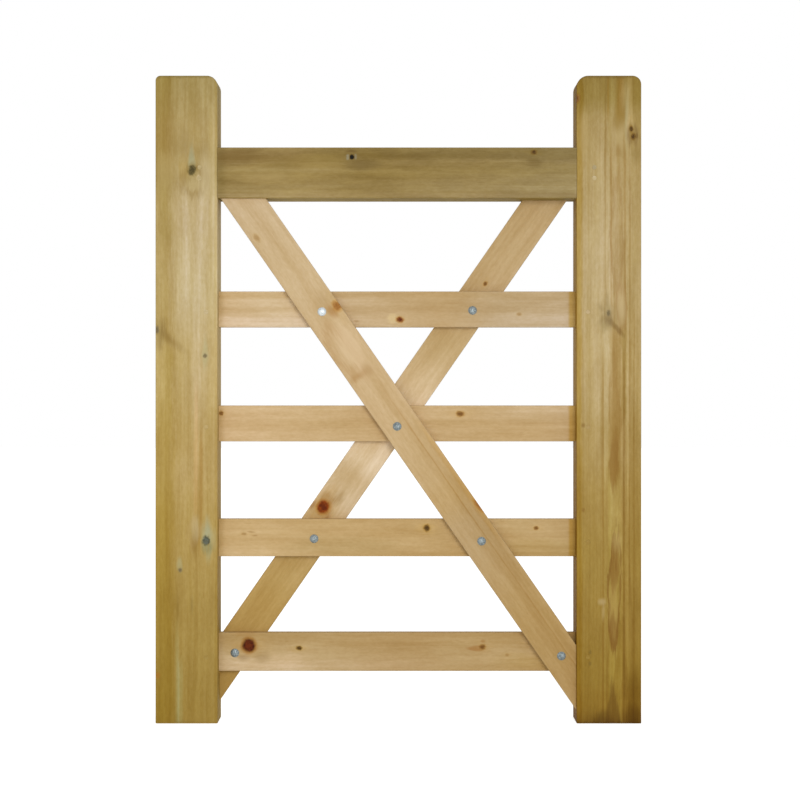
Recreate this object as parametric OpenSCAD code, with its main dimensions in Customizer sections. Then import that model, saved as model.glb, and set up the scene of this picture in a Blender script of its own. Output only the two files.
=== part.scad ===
// A small five-rail timber field gate: two stiles, a heavy top rail, four lighter
// rails mortised into the stiles, and two crossed braces bolted to the rails.
// The origin is on the ground, midway between the stiles and midway through their
// thickness. Z is up, X runs along the rails, and the front face looks along -Y.

/* [Frame] */
// Overall height, from the feet to the tops of the stiles
gate_h = 1200; // [1000:1:1500]
// Overall width across both stiles
gate_w = 900; // [800:1:1100]
// Thickness of the stiles and the top rail, front to back
frame_t = 70; // [68:1:100]
// Width of the left stile
left_stile_w = 115; // [90:1:150]
// Width of the right stile
right_stile_w = 120; // [90:1:150]
// Rounding of the left stile's outer top corner
left_outer_round = 9; // [4:1:30]
// Rounding of the left stile's inner top corner
left_inner_round = 20; // [4:1:40]
// Rounding of the right stile's inner top corner
right_inner_round = 22; // [4:1:40]
// Rounding of the right stile's outer top corner
right_outer_round = 16; // [4:1:30]
// Easing radius on the long edges of the stiles and the top rail
frame_ease = 3; // [1:0.5:6]

/* [Rails] */
// Height of the stiles above the top rail
horn_h = 133; // [60:1:200]
// Height of the top rail
top_rail_h = 94; // [75:1:120]
// Height of the second rail
second_rail_h = 67; // [50:1:90]
// Height of the third rail
third_rail_h = 67; // [50:1:90]
// Height of the fourth rail
fourth_rail_h = 70; // [50:1:90]
// Height of the bottom rail
bottom_rail_h = 72; // [50:1:90]
// Thickness of the four lower rails
rail_t = 18; // [14:1:20]
// Clear height between the top rail and the second rail
top_gap = 171.5; // [120:0.5:220]
// Clear height under the bottom rail
foot_gap = 93; // [70:1:140]
// Easing radius on the long edges of the lower rails and the braces
board_ease = 2; // [0.5:0.5:4]

/* [Braces] */
// Width of both braces
brace_w = 69; // [50:1:90]
// Thickness of both braces
brace_t = 18; // [14:1:20]
// Distance along the top rail from the left stile to the front brace
front_brace_gap = 5; // [0:0.5:30]
// Height of the front brace's toe on the right stile
front_brace_toe = 24; // [5:1:60]
// Distance along the top rail from the right stile to the back brace
back_brace_gap = 14; // [0:0.5:30]
// Height of the back brace's toe on the left stile
back_brace_toe = 35; // [5:1:60]
// How far above the middle of the third rail the two braces cross
cross_rise = 13.5; // [0:0.5:25]

/* [Tenon joints] */
// How far the lower rails' ends go into the stiles
tenon_l = 60; // [40:1:80]
// How far the top rail's tenons go into the stiles
top_tenon_l = 75; // [50:1:85]
// Thickness of the top rail's tenons
top_tenon_t = 24; // [18:1:32]
// Height of the top rail's tenons
top_tenon_h = 66; // [40:1:70]
// Clearance round a tenon in its mortice
mortice_clearance = 0.2; // [0.1:0.05:0.5]
// Diameter of the dowels that pin the tenons
dowel_d = 8; // [5:0.5:12]
// Distance of the dowels from a stile's inner face, at the lower rails
dowel_inset = 21; // [14:1:34]
// Distance of the dowels from a stile's inner face, at the top rail
top_dowel_inset = 33; // [18:1:45]
// Distance between the two dowels of a top tenon
top_dowel_pitch = 20; // [14:1:40]
// How far the dowels sit below the middle of a lower rail
dowel_drop = 6; // [0:1:12]
// Clearance round a dowel in its hole
dowel_clearance = 0.1; // [0.05:0.05:0.3]

/* [Fasteners] */
// Thread diameter of the coach bolts, and the width of their square necks
bolt_d = 6; // [5:1:8]
// Diameter of the domed bolt heads
head_d = 16; // [14:0.5:22]
// Height of the domed bolt heads
head_h = 3.6; // [2.5:0.1:5]
// Length of the square neck under a bolt head
neck_l = 4; // [3:0.5:6]
// How far a bolt's end stands past its nut
bolt_show = 1.2; // [0.8:0.1:3]
// Chamfer on a bolt's end
bolt_chamfer = 0.7; // [0.3:0.1:0.8]
// Outer diameter of the washers
washer_d = 18; // [14:1:24]
// Thickness of the washers
washer_t = 1.6; // [1:0.2:2.4]
// Width of the nuts across their flats
nut_w = 10; // [10:0.5:14]
// Height of the nuts
nut_h = 5; // [4:0.2:6.5]
// Clearance round a bolt in timber
bolt_clearance = 0.3; // [0.1:0.1:0.6]
// Clearance round a bolt in its washer and nut
thread_clearance = 0.1; // [0.05:0.05:0.3]
// How far the bolts in the front brace sit below the middle of a rail
front_bolt_drop = 5; // [0:1:10]
// How far the bolts in the back brace sit below the middle of a rail
back_bolt_drop = 2; // [0:1:10]
// How far the bolts in the back brace sit to the right of its middle line
back_bolt_shift = 8; // [0:1:12]
// Where the middle bolt sits, from the back brace's line at 0 to the front one's at 1
middle_bolt_share = 0.67; // [0:0.01:1]

/* [Hidden] */
// How far cutting shapes run past the faces that they cut
overrun = 5;
$fn = 64;

// Inner faces of the stiles, and the clear opening between them
left_inner = left_stile_w - gate_w / 2;
right_inner = gate_w / 2 - right_stile_w;
opening_w = right_inner - left_inner;
opening_mid = (left_inner + right_inner) / 2;

// Levels of the top rail, which is set down from the stile tops
top_rail_top = gate_h - horn_h;
top_rail_under = top_rail_top - top_rail_h;
top_z = top_rail_top - top_rail_h / 2;

// Depths: rails in the middle, one brace against their fronts and one against their backs
rail_front = -rail_t / 2;
rail_back = rail_t / 2;
front_brace_y = rail_front - brace_t / 2;
front_brace_face = rail_front - brace_t;
back_brace_y = rail_back + brace_t / 2;

// Brace ends: each lower edge runs from under the top rail to its toe on the far stile
front_start = left_inner + front_brace_gap;
back_start = right_inner - back_brace_gap;
front_lean = atan2(right_inner - front_start, top_rail_under - front_brace_toe);
back_lean = atan2(back_start - left_inner, top_rail_under - back_brace_toe);

// Middle lines of the braces: where they start under the top rail, and X at height z
front_line_start = front_start + brace_w / 2 / cos(front_lean);
back_line_start = back_start - brace_w / 2 / cos(back_lean);
function front_line(z) = front_line_start + (top_rail_under - z) * tan(front_lean);
function back_line(z) = back_line_start - (top_rail_under - z) * tan(back_lean);
cross_z = top_rail_under - (back_line_start - front_line_start) / (tan(front_lean) + tan(back_lean));

// Levels of the lower rails: the third is at the crossing, the fourth midway to the bottom one
second_z = top_rail_under - top_gap - second_rail_h / 2;
third_z = cross_z - cross_rise;
bottom_z = foot_gap + bottom_rail_h / 2;
fourth_z = (third_z + bottom_z) / 2;

// Bolt places, as [x, z], for a rail whose middle is at height z
function front_spot(z) = [front_line(z - front_bolt_drop), z - front_bolt_drop];
function back_spot(z) = [back_line(z - back_bolt_drop) + back_bolt_shift, z - back_bolt_drop];
middle_level = third_z - front_bolt_drop;
middle_reach = front_line(middle_level) - back_line(middle_level);
middle_spot = [back_line(middle_level) + middle_bolt_share * middle_reach, middle_level];

// Bolts: name, place, face under the head, and thickness of timber that is clamped
pair_grip = rail_t + brace_t;
full_grip = rail_t + 2 * brace_t;
front_bolts = [
    ["front_brace_upper", front_spot(second_z), front_brace_face, pair_grip],
    ["front_brace_lower", front_spot(fourth_z), front_brace_face, pair_grip],
    ["front_brace_foot", front_spot(bottom_z), front_brace_face, pair_grip],
];
back_bolts = [
    ["back_brace_upper", back_spot(second_z), rail_front, pair_grip],
    ["back_brace_lower", back_spot(fourth_z), rail_front, pair_grip],
    ["back_brace_foot", back_spot(bottom_z), rail_front, pair_grip],
];
middle_bolt = ["middle", middle_spot, front_brace_face, full_grip];
bolts = concat(front_bolts, back_bolts, [middle_bolt]);

// Dowels: name and place, for one stile, given its side and the way into it from its inner face
function stile_dowels(side, inner, into) = [
    [str(side, "_top_upper"), [inner + into * top_dowel_inset, top_z + top_dowel_pitch / 2]],
    [str(side, "_top_lower"), [inner + into * top_dowel_inset, top_z - top_dowel_pitch / 2]],
    [str(side, "_second"), [inner + into * dowel_inset, second_z - dowel_drop]],
    [str(side, "_third"), [inner + into * dowel_inset, third_z - dowel_drop]],
    [str(side, "_fourth"), [inner + into * dowel_inset, fourth_z - dowel_drop]],
    [str(side, "_bottom"), [inner + into * dowel_inset, bottom_z - dowel_drop]],
];
left_dowels = stile_dowels("left", left_inner, -1);
right_dowels = stile_dowels("right", right_inner, 1);
dowels = concat(left_dowels, right_dowels);

timbers = [
    "left_stile", "right_stile", "top_rail", "second_rail", "third_rail",
    "fourth_rail", "bottom_rail", "front_brace", "back_brace",
];

// Section of a planed board with its four corners eased
module eased_section(across, up, ease) {
    square([across - 2 * ease, up], center = true);
    square([across, up - 2 * ease], center = true);
    for (side = [-1, 1], level = [-1, 1])
        translate([side * (across / 2 - ease), level * (up / 2 - ease)]) circle(ease);
}

// Board lying along X, centred on the opening at height z
module level_board(length, height, thickness, ease, z) {
    translate([opening_mid, 0, z])
        rotate([90, 0, 90])
            linear_extrude(length, center = true)
                eased_section(thickness, height, ease);
}

// Front outline of a stile, from x = 0 to its width, with its two top corners rounded
module stile_outline(width, low_round, high_round) {
    difference() {
        square([width, gate_h]);
        translate([0, gate_h - low_round]) square([low_round, low_round]);
        translate([width - high_round, gate_h - high_round]) square([high_round, high_round]);
    }
    translate([low_round, gate_h - low_round]) circle(low_round);
    translate([width - high_round, gate_h - high_round]) circle(high_round);
}

// Stile before it is mortised, standing from x = start
module stile_blank(start, width, low_round, high_round) {
    intersection() {
        translate([start + width / 2, 0, 0])
            linear_extrude(gate_h)
                eased_section(width, frame_t, frame_ease);
        translate([start, frame_t / 2 + overrun, 0])
            rotate([90, 0, 0])
                linear_extrude(frame_t + 2 * overrun)
                    stile_outline(width, low_round, high_round);
    }
}

// Mortices of both stiles: one long pocket per rail that reaches into both of them
module mortices() {
    pocket(top_tenon_l, top_tenon_h, top_tenon_t, top_z);
    pocket(tenon_l, second_rail_h, rail_t, second_z);
    pocket(tenon_l, third_rail_h, rail_t, third_z);
    pocket(tenon_l, fourth_rail_h, rail_t, fourth_z);
    pocket(tenon_l, bottom_rail_h, rail_t, bottom_z);
}

// Room for one tenon and its clearance at each end of the opening
module pocket(depth, height, thickness, z) {
    room = 2 * mortice_clearance;
    translate([opening_mid, 0, z])
        cube([opening_w + 2 * depth + room, thickness + room, height + room], center = true);
}

// Holes through the whole gate for dowels or bolts, at the places of a list
module through_holes(list, diameter) {
    for (item = list)
        translate([item[1][0], 0, item[1][1]])
            rotate([90, 0, 0])
                cylinder(d = diameter, h = frame_t + 2 * overrun, center = true);
}

module dowel_holes(list) {
    through_holes(list, dowel_d + 2 * dowel_clearance);
}

module bolt_holes(list) {
    through_holes(list, bolt_d + 2 * bolt_clearance);
}

// Square pockets for the bolts' necks, sunk from the face under each head
module neck_pockets(list) {
    side = bolt_d + 2 * bolt_clearance;
    for (item = list)
        translate([item[1][0], item[2], item[1][1]])
            cube([side, 2 * (neck_l + bolt_clearance), side], center = true);
}

module left_stile() {
    color("#a58d55") difference() {
        stile_blank(-gate_w / 2, left_stile_w, left_outer_round, left_inner_round);
        mortices();
        dowel_holes(left_dowels);
    }
}

module right_stile() {
    color("#a38449") difference() {
        stile_blank(right_inner, right_stile_w, right_inner_round, right_outer_round);
        mortices();
        dowel_holes(right_dowels);
    }
}

// Top rail: full frame thickness between the stiles, with a thinner tenon at each end
module top_rail() {
    color("#8d7a4a") difference() {
        union() {
            level_board(opening_w, top_rail_h, frame_t, frame_ease, top_z);
            translate([opening_mid, 0, top_z])
                cube([opening_w + 2 * top_tenon_l, top_tenon_t, top_tenon_h], center = true);
        }
        dowel_holes(dowels);
    }
}

// Lower rail: its full section runs into both stiles
module lower_rail(height, z) {
    level_board(opening_w + 2 * tenon_l, height, rail_t, board_ease, z);
}

module second_rail() {
    color("#c6a878") difference() {
        lower_rail(second_rail_h, second_z);
        dowel_holes(dowels);
        bolt_holes([front_bolts[0], back_bolts[0]]);
        neck_pockets([back_bolts[0]]);
    }
}

module third_rail() {
    color("#c9ad80") difference() {
        lower_rail(third_rail_h, third_z);
        dowel_holes(dowels);
        bolt_holes([middle_bolt]);
    }
}

module fourth_rail() {
    color("#c8a876") difference() {
        lower_rail(fourth_rail_h, fourth_z);
        dowel_holes(dowels);
        bolt_holes([front_bolts[1], back_bolts[1]]);
        neck_pockets([back_bolts[1]]);
    }
}

module bottom_rail() {
    color("#bd9c66") difference() {
        lower_rail(bottom_rail_h, bottom_z);
        dowel_holes(dowels);
        bolt_holes([front_bolts[2], back_bolts[2]]);
        neck_pockets([back_bolts[2]]);
    }
}

// Sloping board, leaning way = 1 to the right or -1 to the left as it goes down, cut
// level under the top rail and upright against the far stile
module brace_board(start, lean, way, y) {
    length = top_rail_under / cos(lean) + 2 * brace_w;
    intersection() {
        translate([start, y, top_rail_under])
            rotate([0, -way * lean, 0])
                translate([way * brace_w / 2, 0, brace_w - length / 2])
                    linear_extrude(length, center = true)
                        eased_section(brace_w, brace_t, board_ease);
        translate([left_inner, y - brace_t, 0]) cube([opening_w, 2 * brace_t, top_rail_under]);
    }
}

module front_brace() {
    color("#cbb083") difference() {
        brace_board(front_start, front_lean, 1, front_brace_y);
        bolt_holes(concat(front_bolts, [middle_bolt]));
        neck_pockets(concat(front_bolts, [middle_bolt]));
    }
}

module back_brace() {
    color("#b7965f") difference() {
        brace_board(back_start, back_lean, -1, back_brace_y);
        bolt_holes(concat(back_bolts, [middle_bolt]));
    }
}

// Coach bolt: domed head, square neck and round shank, pointing along +Y from its head
module coach_bolt(item) {
    radius = bolt_d / 2;
    length = item[3] + washer_t + nut_h + bolt_show;
    dome = (head_d * head_d / 4 + head_h * head_h) / (2 * head_h);
    color("#b9bcb6") translate([item[1][0], item[2], item[1][1]]) rotate([-90, 0, 0]) {
        rotate_extrude() {
            intersection() {
                translate([0, dome - head_h]) circle(dome);
                translate([0, -head_h]) square([head_d / 2, head_h]);
            }
            polygon([
                [0, -head_h / 2],
                [radius, -head_h / 2],
                [radius, length - bolt_chamfer],
                [radius - bolt_chamfer, length],
                [0, length],
            ]);
        }
        translate([-radius, -radius, 0]) cube([bolt_d, bolt_d, neck_l]);
    }
}

module washer(item) {
    color("#a9aca6") translate([item[1][0], item[2] + item[3], item[1][1]]) rotate([-90, 0, 0])
        difference() {
            cylinder(d = washer_d, h = washer_t);
            translate([0, 0, -overrun])
                cylinder(d = bolt_d + 2 * thread_clearance, h = washer_t + 2 * overrun);
        }
}

// Hexagon nut whose outer corners are turned off at both ends
module nut(item) {
    corner = nut_w / 2 / cos(30);
    slope = (corner - nut_w / 2) * tan(30);
    color("#b1b4ae") translate([item[1][0], item[2] + item[3] + washer_t, item[1][1]])
        rotate([-90, 0, 0]) difference() {
            intersection() {
                cylinder(r = corner, h = nut_h, $fn = 6);
                rotate_extrude() polygon([
                    [0, 0],
                    [nut_w / 2, 0],
                    [corner, slope],
                    [corner, nut_h - slope],
                    [nut_w / 2, nut_h],
                    [0, nut_h],
                ]);
            }
            translate([0, 0, -overrun])
                cylinder(d = bolt_d + 2 * thread_clearance, h = nut_h + 2 * overrun);
        }
}

// Dowel through stile and tenon, cut flush with both faces of the stile
module dowel(item) {
    color("#9c834a") translate([item[1][0], 0, item[1][1]])
        rotate([90, 0, 0])
            cylinder(d = dowel_d, h = frame_t, center = true);
}

left_stile();
right_stile();
top_rail();
second_rail();
third_rail();
fourth_rail();
bottom_rail();
front_brace();
back_brace();
for (b = bolts) {
    coach_bolt(b);
    washer(b);
    nut(b);
}
for (d = dowels) {
    dowel(d);
}
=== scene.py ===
"""The looks of a small timber field gate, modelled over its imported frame.

Every timber, bolt, washer, nut and dowel of the frame gets a modelled piece with its own finish.
Sizes are metres in the gate's own frame: X along the rails, Z up, the front face towards -Y.
"""

import logging
import math
from abc import ABC, abstractmethod
from dataclasses import dataclass, field
from enum import Enum
from typing import Any, Callable, Sequence

import bmesh
import bpy
from mathutils import Color, Euler, Matrix, Vector


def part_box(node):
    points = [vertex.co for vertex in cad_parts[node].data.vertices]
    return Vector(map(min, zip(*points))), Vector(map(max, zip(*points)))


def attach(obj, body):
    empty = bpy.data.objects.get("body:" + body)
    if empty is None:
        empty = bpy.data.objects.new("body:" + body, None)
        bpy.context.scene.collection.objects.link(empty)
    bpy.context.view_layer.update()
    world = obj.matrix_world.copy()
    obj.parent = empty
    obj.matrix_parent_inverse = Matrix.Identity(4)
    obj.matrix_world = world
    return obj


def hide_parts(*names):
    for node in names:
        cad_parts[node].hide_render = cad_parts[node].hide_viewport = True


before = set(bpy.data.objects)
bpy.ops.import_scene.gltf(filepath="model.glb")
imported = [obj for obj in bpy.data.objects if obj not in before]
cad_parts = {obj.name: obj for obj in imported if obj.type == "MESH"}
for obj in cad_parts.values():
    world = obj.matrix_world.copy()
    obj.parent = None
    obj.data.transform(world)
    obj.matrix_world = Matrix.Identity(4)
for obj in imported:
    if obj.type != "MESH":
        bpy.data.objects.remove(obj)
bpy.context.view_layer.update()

LOG = logging.getLogger("field_gate")
BODY = "root"
MM = 0.001
FULL_LEVEL = 255

Colour = tuple[float, float, float, float]
Triple = tuple[float, float, float]
Value = Any
Piece = bpy.types.Object
Material = bpy.types.Material
Node = bpy.types.Node
Socket = bpy.types.NodeSocket
Tree = bpy.types.NodeTree
EdgeTest = Callable[[Vector, Vector], bool]


def tone(red: int, green: int, blue: int) -> Colour:
    """Turn a display colour into the linear colour that shaders use.

    Args:
        red: Red as displayed, 0 to 255.
        green: Green as displayed, 0 to 255.
        blue: Blue as displayed, 0 to 255.

    Returns:
        The linear colour, fully opaque.
    """
    shown = Color((red / FULL_LEVEL, green / FULL_LEVEL, blue / FULL_LEVEL))
    return (*shown.from_srgb_to_scene_linear(), 1.0)


def shade(red: float, green: float, blue: float) -> Colour:
    """Return a shade, which multiplies the colour under it."""
    return (red, green, blue, 1.0)


class Slot(Enum):
    """The record's material slots."""

    LEFT_STILE = "left_stile_timber"
    RIGHT_STILE = "right_stile_timber"
    TOP_RAIL = "top_rail_timber"
    RAIL = "rail_timber"
    FRONT_BRACE = "front_brace_timber"
    BACK_BRACE = "back_brace_timber"
    DOWEL = "dowel_timber"
    ZINC = "zinc_steel"


class Side(Enum):
    """Which way a piece faces across the gate."""

    LEFT = -1
    RIGHT = 1


class Join(Enum):
    """How one solid acts on another."""

    CUT = "DIFFERENCE"
    ADD = "UNION"
    KEEP_COMMON = "INTERSECT"


@dataclass(frozen=True)
class KnotTint:
    """The looks of one kind of knot: colours for its core and heart, shades for the wood round it."""

    core: Colour
    heart: Colour
    fringe: Colour
    halo: Colour
    heart_share: float = 1.0
    ragged: float = 1.05


class KnotKind(Enum):
    """The kinds of knot in the gate's softwood."""

    RED = KnotTint(
        tone(104, 43, 12), tone(66, 21, 3), shade(0.8, 0.6, 0.36), shade(1.0, 0.96, 0.86), 1.0, 0.5
    )
    FIERY = KnotTint(
        tone(98, 37, 4), tone(138, 62, 6), shade(0.84, 0.66, 0.4), shade(1.02, 0.96, 0.8), 1.0, 0.6
    )
    RUST = KnotTint(tone(92, 38, 14), tone(148, 92, 42), shade(0.9, 0.76, 0.52), shade(1.05, 1.06, 1.04))
    BROWN = KnotTint(
        tone(112, 72, 28), tone(148, 108, 54), shade(0.9, 0.8, 0.6), shade(1.02, 1.0, 0.94), 0.9
    )
    OLIVE = KnotTint(
        tone(72, 48, 16), tone(118, 88, 40), shade(0.84, 0.76, 0.52), shade(1.04, 1.02, 0.9), 0.95
    )
    BLACK = KnotTint(tone(8, 7, 4), tone(34, 28, 14), shade(0.78, 0.74, 0.66), shade(1.12, 1.16, 1.4))
    MOSS = KnotTint(
        tone(66, 58, 30), tone(98, 86, 48), shade(0.8, 0.78, 0.7), shade(1.03, 1.06, 1.06), 0.9, 1.4
    )
    GREY = KnotTint(
        tone(106, 94, 66), tone(138, 121, 86), shade(0.92, 0.92, 0.92), shade(1.0, 1.02, 1.04), 0.8
    )
    SLATE = KnotTint(
        tone(92, 100, 90), tone(66, 66, 52), shade(0.82, 0.84, 0.84), shade(1.0, 1.07, 1.2), 0.92, 1.5
    )
    ORANGE = KnotTint(
        tone(146, 92, 34), tone(172, 120, 60), shade(0.97, 0.86, 0.64), shade(1.0, 0.98, 0.9), 0.85
    )
    FAINT = KnotTint(
        tone(156, 120, 70), tone(176, 142, 92), shade(0.95, 0.91, 0.82), shade(1.0, 1.0, 0.97), 0.6
    )


@dataclass(frozen=True)
class Knot:
    """A knot that runs through a timber, placed on the gate's front view.

    x and z are its middle, length and width its half sizes along and across the grain and deep how far
    it goes in from the front, in millimetres.
    """

    x: float
    z: float
    length: float
    width: float
    kind: KnotKind
    deep: float = 1000.0


@dataclass(frozen=True)
class Band:
    """A shaded stripe along the grain.

    middle is its distance from the timber's middle line, half its half width and soft the width of its
    edge; start and end are along the timber and fade is the length of its ends, in millimetres.
    """

    middle: float
    half: float
    soft: float
    tint: Colour
    start: float = -200.0
    end: float = 2000.0
    fade: float = 90.0


@dataclass(frozen=True)
class Spot:
    """A coloured patch of figure or stain, placed on the gate's front view in millimetres.

    length and width are its half sizes along and across the grain, share is how much it covers, soft
    the width of its edge as a share of its size, and point is 1 for a patch with pointed ends. hollow is
    how much its inside fades, turn the angle in degrees from the grain to its length and deep how far it
    goes in from the front.
    """

    x: float
    z: float
    length: float
    width: float
    colour: Colour
    share: float
    soft: float = 0.5
    point: float = 0.0
    hollow: float = 0.0
    turn: float = 0.0
    deep: float = 1000.0


@dataclass(frozen=True)
class Tone:
    """The timber's ground colour at a share of its length."""

    at: float
    colour: Colour


@dataclass(frozen=True)
class TimberFinish:
    """All that sets one timber's looks apart from the next one's.

    The tones are colours; pale, dark, late, worn, end_grain, patch, heart and under are shades over
    them. under is painted light and shade on the side that looks down from a rail or inwards from the
    right stile, set for how the light falls there. Lengths are in millimetres.
    """

    tones: Sequence[Tone]
    seed: float
    pale: Colour = shade(1.13, 1.17, 1.36)
    dark: Colour = shade(0.86, 0.81, 0.62)
    late: Colour = shade(0.74, 0.64, 0.42)
    worn: Colour = shade(1.16, 1.2, 1.4)
    end_grain: Colour = shade(0.78, 0.72, 0.58)
    patch: Colour = shade(1.1, 1.12, 1.08)
    heart: Colour = shade(0.82, 0.74, 0.56)
    # Painted light and shade for the side that looks down or inwards; plain unless a finish sets it.
    under: Colour = shade(1.0, 1.0, 1.0)
    pale_share: float = 0.5
    dark_share: float = 0.5
    patch_share: float = 0.6
    late_share: float = 0.25
    streak_share: float = 0.3
    speck_share: float = 0.25
    fleck_share: float = 0.3
    heart_radius: float = 0.0
    heart_soft: float = 5.0
    heart_late: float = 0.0
    pith_across: float = 20.0
    pith_deep: float = -60.0
    ring_width: float = 5.0
    taper: float = 0.0
    wander: float = 55.0
    bands: Sequence[Band] = ()
    spots: Sequence[Spot] = ()
    knots: Sequence[Knot] = ()

    def tone_at(self, share: float) -> Colour:
        """Find the ground colour at a share of the timber's length.

        Args:
            share: The share of the length from the end where the grain starts.

        Returns:
            The colour between the two nearest tones.
        """
        for one, other in zip(self.tones[:-1], self.tones[1:]):
            if share <= other.at:
                part = (share - one.at) / (other.at - one.at)
                return tuple(Vector(one.colour).lerp(Vector(other.colour), part))
        return self.tones[-1].colour


@dataclass(frozen=True)
class GrainFrame:
    """A timber's own axes: along its grain, across its face and out of its front.

    turn is the angle, clockwise as seen from the front, from the rails' direction to the grain.
    """

    start_x: float
    start_z: float
    turn: float
    length: float
    width: float
    thickness: float
    depth: float = 0.0

    def along(self) -> Vector:
        """Return the direction of the grain."""
        return Vector((math.cos(self.turn), 0.0, -math.sin(self.turn)))

    def across(self) -> Vector:
        """Return the direction across the face."""
        return Vector((math.sin(self.turn), 0.0, math.cos(self.turn)))

    def start(self) -> Vector:
        """Return the middle of the end where the grain starts."""
        return Vector((self.start_x, self.depth, self.start_z))

    def rotation(self) -> Euler:
        """Return the turn of the timber's axes from the gate's."""
        front = Vector((0.0, -1.0, 0.0))
        return Matrix((self.along(), self.across(), front)).transposed().to_euler()

    def front(self, x: float, z: float) -> Vector:
        """Find a point of the timber's front face in the timber's own axes.

        Args:
            x: The point along the rails.
            z: The point's height.

        Returns:
            Its distances along the grain, across the face and out from the timber's middle.
        """
        step = Vector((x - self.start_x, 0.0, z - self.start_z))
        return Vector((step.dot(self.along()), step.dot(self.across()), self.thickness / 2))


@dataclass(frozen=True)
class Noise:
    """A cloudy pattern.

    scale is how often it changes along, across and into the timber, detail and rough say how finely,
    and edge, where it has one, is the pair of levels between which it is sharpened.
    """

    scale: Triple
    detail: float
    rough: float = 0.5
    edge: tuple[float, float] | None = None


class Bench:
    """Lays nodes into one shader tree and joins them up."""

    mix_sockets = (0, 6, 7)
    mix_result = 2

    def __init__(self, tree: Tree) -> None:
        """Take the tree to work on."""
        self.tree = tree

    @staticmethod
    def fresh(owner: Material | bpy.types.World) -> "Bench":
        """Start on a new material or world, with no nodes in it.

        Args:
            owner: The material or world.

        Returns:
            The bench for its tree.
        """
        owner.use_nodes = True
        owner.node_tree.nodes.clear()
        return Bench(owner.node_tree)

    def feed(self, socket: Socket, value: Value) -> None:
        """Link a socket to another one, or set it to a plain value.

        Args:
            socket: The socket.
            value: The other socket, or the value.
        """
        if isinstance(value, Socket):
            self.tree.links.new(value, socket)
        else:
            socket.default_value = value

    def node(self, kind: str, settings: dict[str, Any] | None = None, **inputs: Value) -> Node:
        """Add a node.

        Args:
            kind: The node's type.
            settings: Its properties.
            inputs: What its sockets get, by name, with _ for a space.

        Returns:
            The new node.
        """
        made = self.tree.nodes.new(kind)
        for name, value in (settings or {}).items():
            setattr(made, name, value)
        for name, value in inputs.items():
            self.feed(made.inputs[name.replace("_", " ")], value)
        return made

    def ordered(self, kind: str, how: str, values: Sequence[Value]) -> Node:
        """Add a node that works something out from its sockets in order.

        Args:
            kind: The node's type.
            how: Its operation.
            values: What its sockets get.

        Returns:
            The new node.
        """
        made = self.node(kind, {"operation": how})
        for socket, value in zip(made.inputs, values):
            self.feed(socket, value)
        return made

    def math(self, how: str, *values: Value) -> Socket:
        """Add a Math node and return its result."""
        return self.ordered("ShaderNodeMath", how, values).outputs[0]

    def vector(self, how: str, *values: Value, out: str = "Vector") -> Socket:
        """Add a Vector Math node and return one of its results."""
        return self.ordered("ShaderNodeVectorMath", how, values).outputs[out]

    def length(self, place: Value) -> Socket:
        """Return how far a place is from the origin."""
        return self.vector("LENGTH", place, out="Value")

    def dot(self, one: Value, other: Value) -> Socket:
        """Return the dot product of two directions."""
        return self.vector("DOT_PRODUCT", one, other, out="Value")

    def smooth(self, value: Value, low: Value, high: Value) -> Socket:
        """Rise smoothly from 0 at low to 1 at high."""
        eased = {"interpolation_type": "SMOOTHSTEP"}
        return self.node("ShaderNodeMapRange", eased, Value=value, From_Min=low, From_Max=high).outputs[0]

    def fall(self, value: Value, low: Value, high: Value) -> Socket:
        """Fall smoothly from 1 at low to 0 at high."""
        return self.rest(self.smooth(value, low, high))

    def rest(self, share: Value) -> Socket:
        """Return what a share leaves of the whole."""
        return self.math("SUBTRACT", 1.0, share)

    def mix(self, share: Value, first: Value, second: Value, blend: str = "MIX") -> Socket:
        """Mix two colours.

        Args:
            share: The share of the second one.
            first: The colour underneath.
            second: The colour over it.
            blend: How they mix.

        Returns:
            The mixed colour.
        """
        made = self.node("ShaderNodeMix", {"data_type": "RGBA", "blend_type": blend})
        for number, value in zip(self.mix_sockets, (share, first, second)):
            self.feed(made.inputs[number], value)
        return made.outputs[self.mix_result]

    def tint(self, mask: Value, colour: Value, over: Colour) -> Socket:
        """Multiply a colour by a shade where a mask lies."""
        return self.mix(mask, colour, over, "MULTIPLY")

    def noise(self, place: Value, kind: Noise) -> Node:
        """Lay a cloudy pattern over a place.

        Args:
            place: The place in the piece's own axes.
            kind: The pattern.

        Returns:
            The noise's node.
        """
        return self.node(
            "ShaderNodeTexNoise", None, Vector=self.vector("MULTIPLY", place, kind.scale), Scale=1.0,
            Detail=kind.detail, Roughness=kind.rough,
        )

    def cloud(self, place: Value, kind: Noise) -> Socket:
        """Return a cloudy pattern as a mask, sharpened where it has an edge."""
        plain = self.noise(place, kind).outputs["Fac"]
        return self.smooth(plain, *kind.edge) if kind.edge else plain

    def parts(self, place: Value) -> tuple[Socket, ...]:
        """Split a vector into its three parts."""
        return tuple(self.node("ShaderNodeSeparateXYZ", None, Vector=place).outputs)

    def group(self, tree: Tree, **inputs: Value) -> Sequence[Socket]:
        """Place a shared group with its own values and return its outputs."""
        return self.node("ShaderNodeGroup", {"node_tree": tree}, **inputs).outputs

    def surface(self, height: Value, strength: float, depth: float, **inputs: Value) -> None:
        """End a material with a shader whose surface has a fine relief.

        Args:
            height: The relief.
            strength: How strongly it shows.
            depth: Its depth.
            inputs: What the shader's other sockets get, by name, with _ for a space.
        """
        bump = self.node("ShaderNodeBump", None, Strength=strength, Distance=depth, Height=height)
        shader = self.node("ShaderNodeBsdfPrincipled", None, Normal=bump.outputs[0], **inputs)
        self.node("ShaderNodeOutputMaterial", None, Surface=shader.outputs[0])


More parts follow.
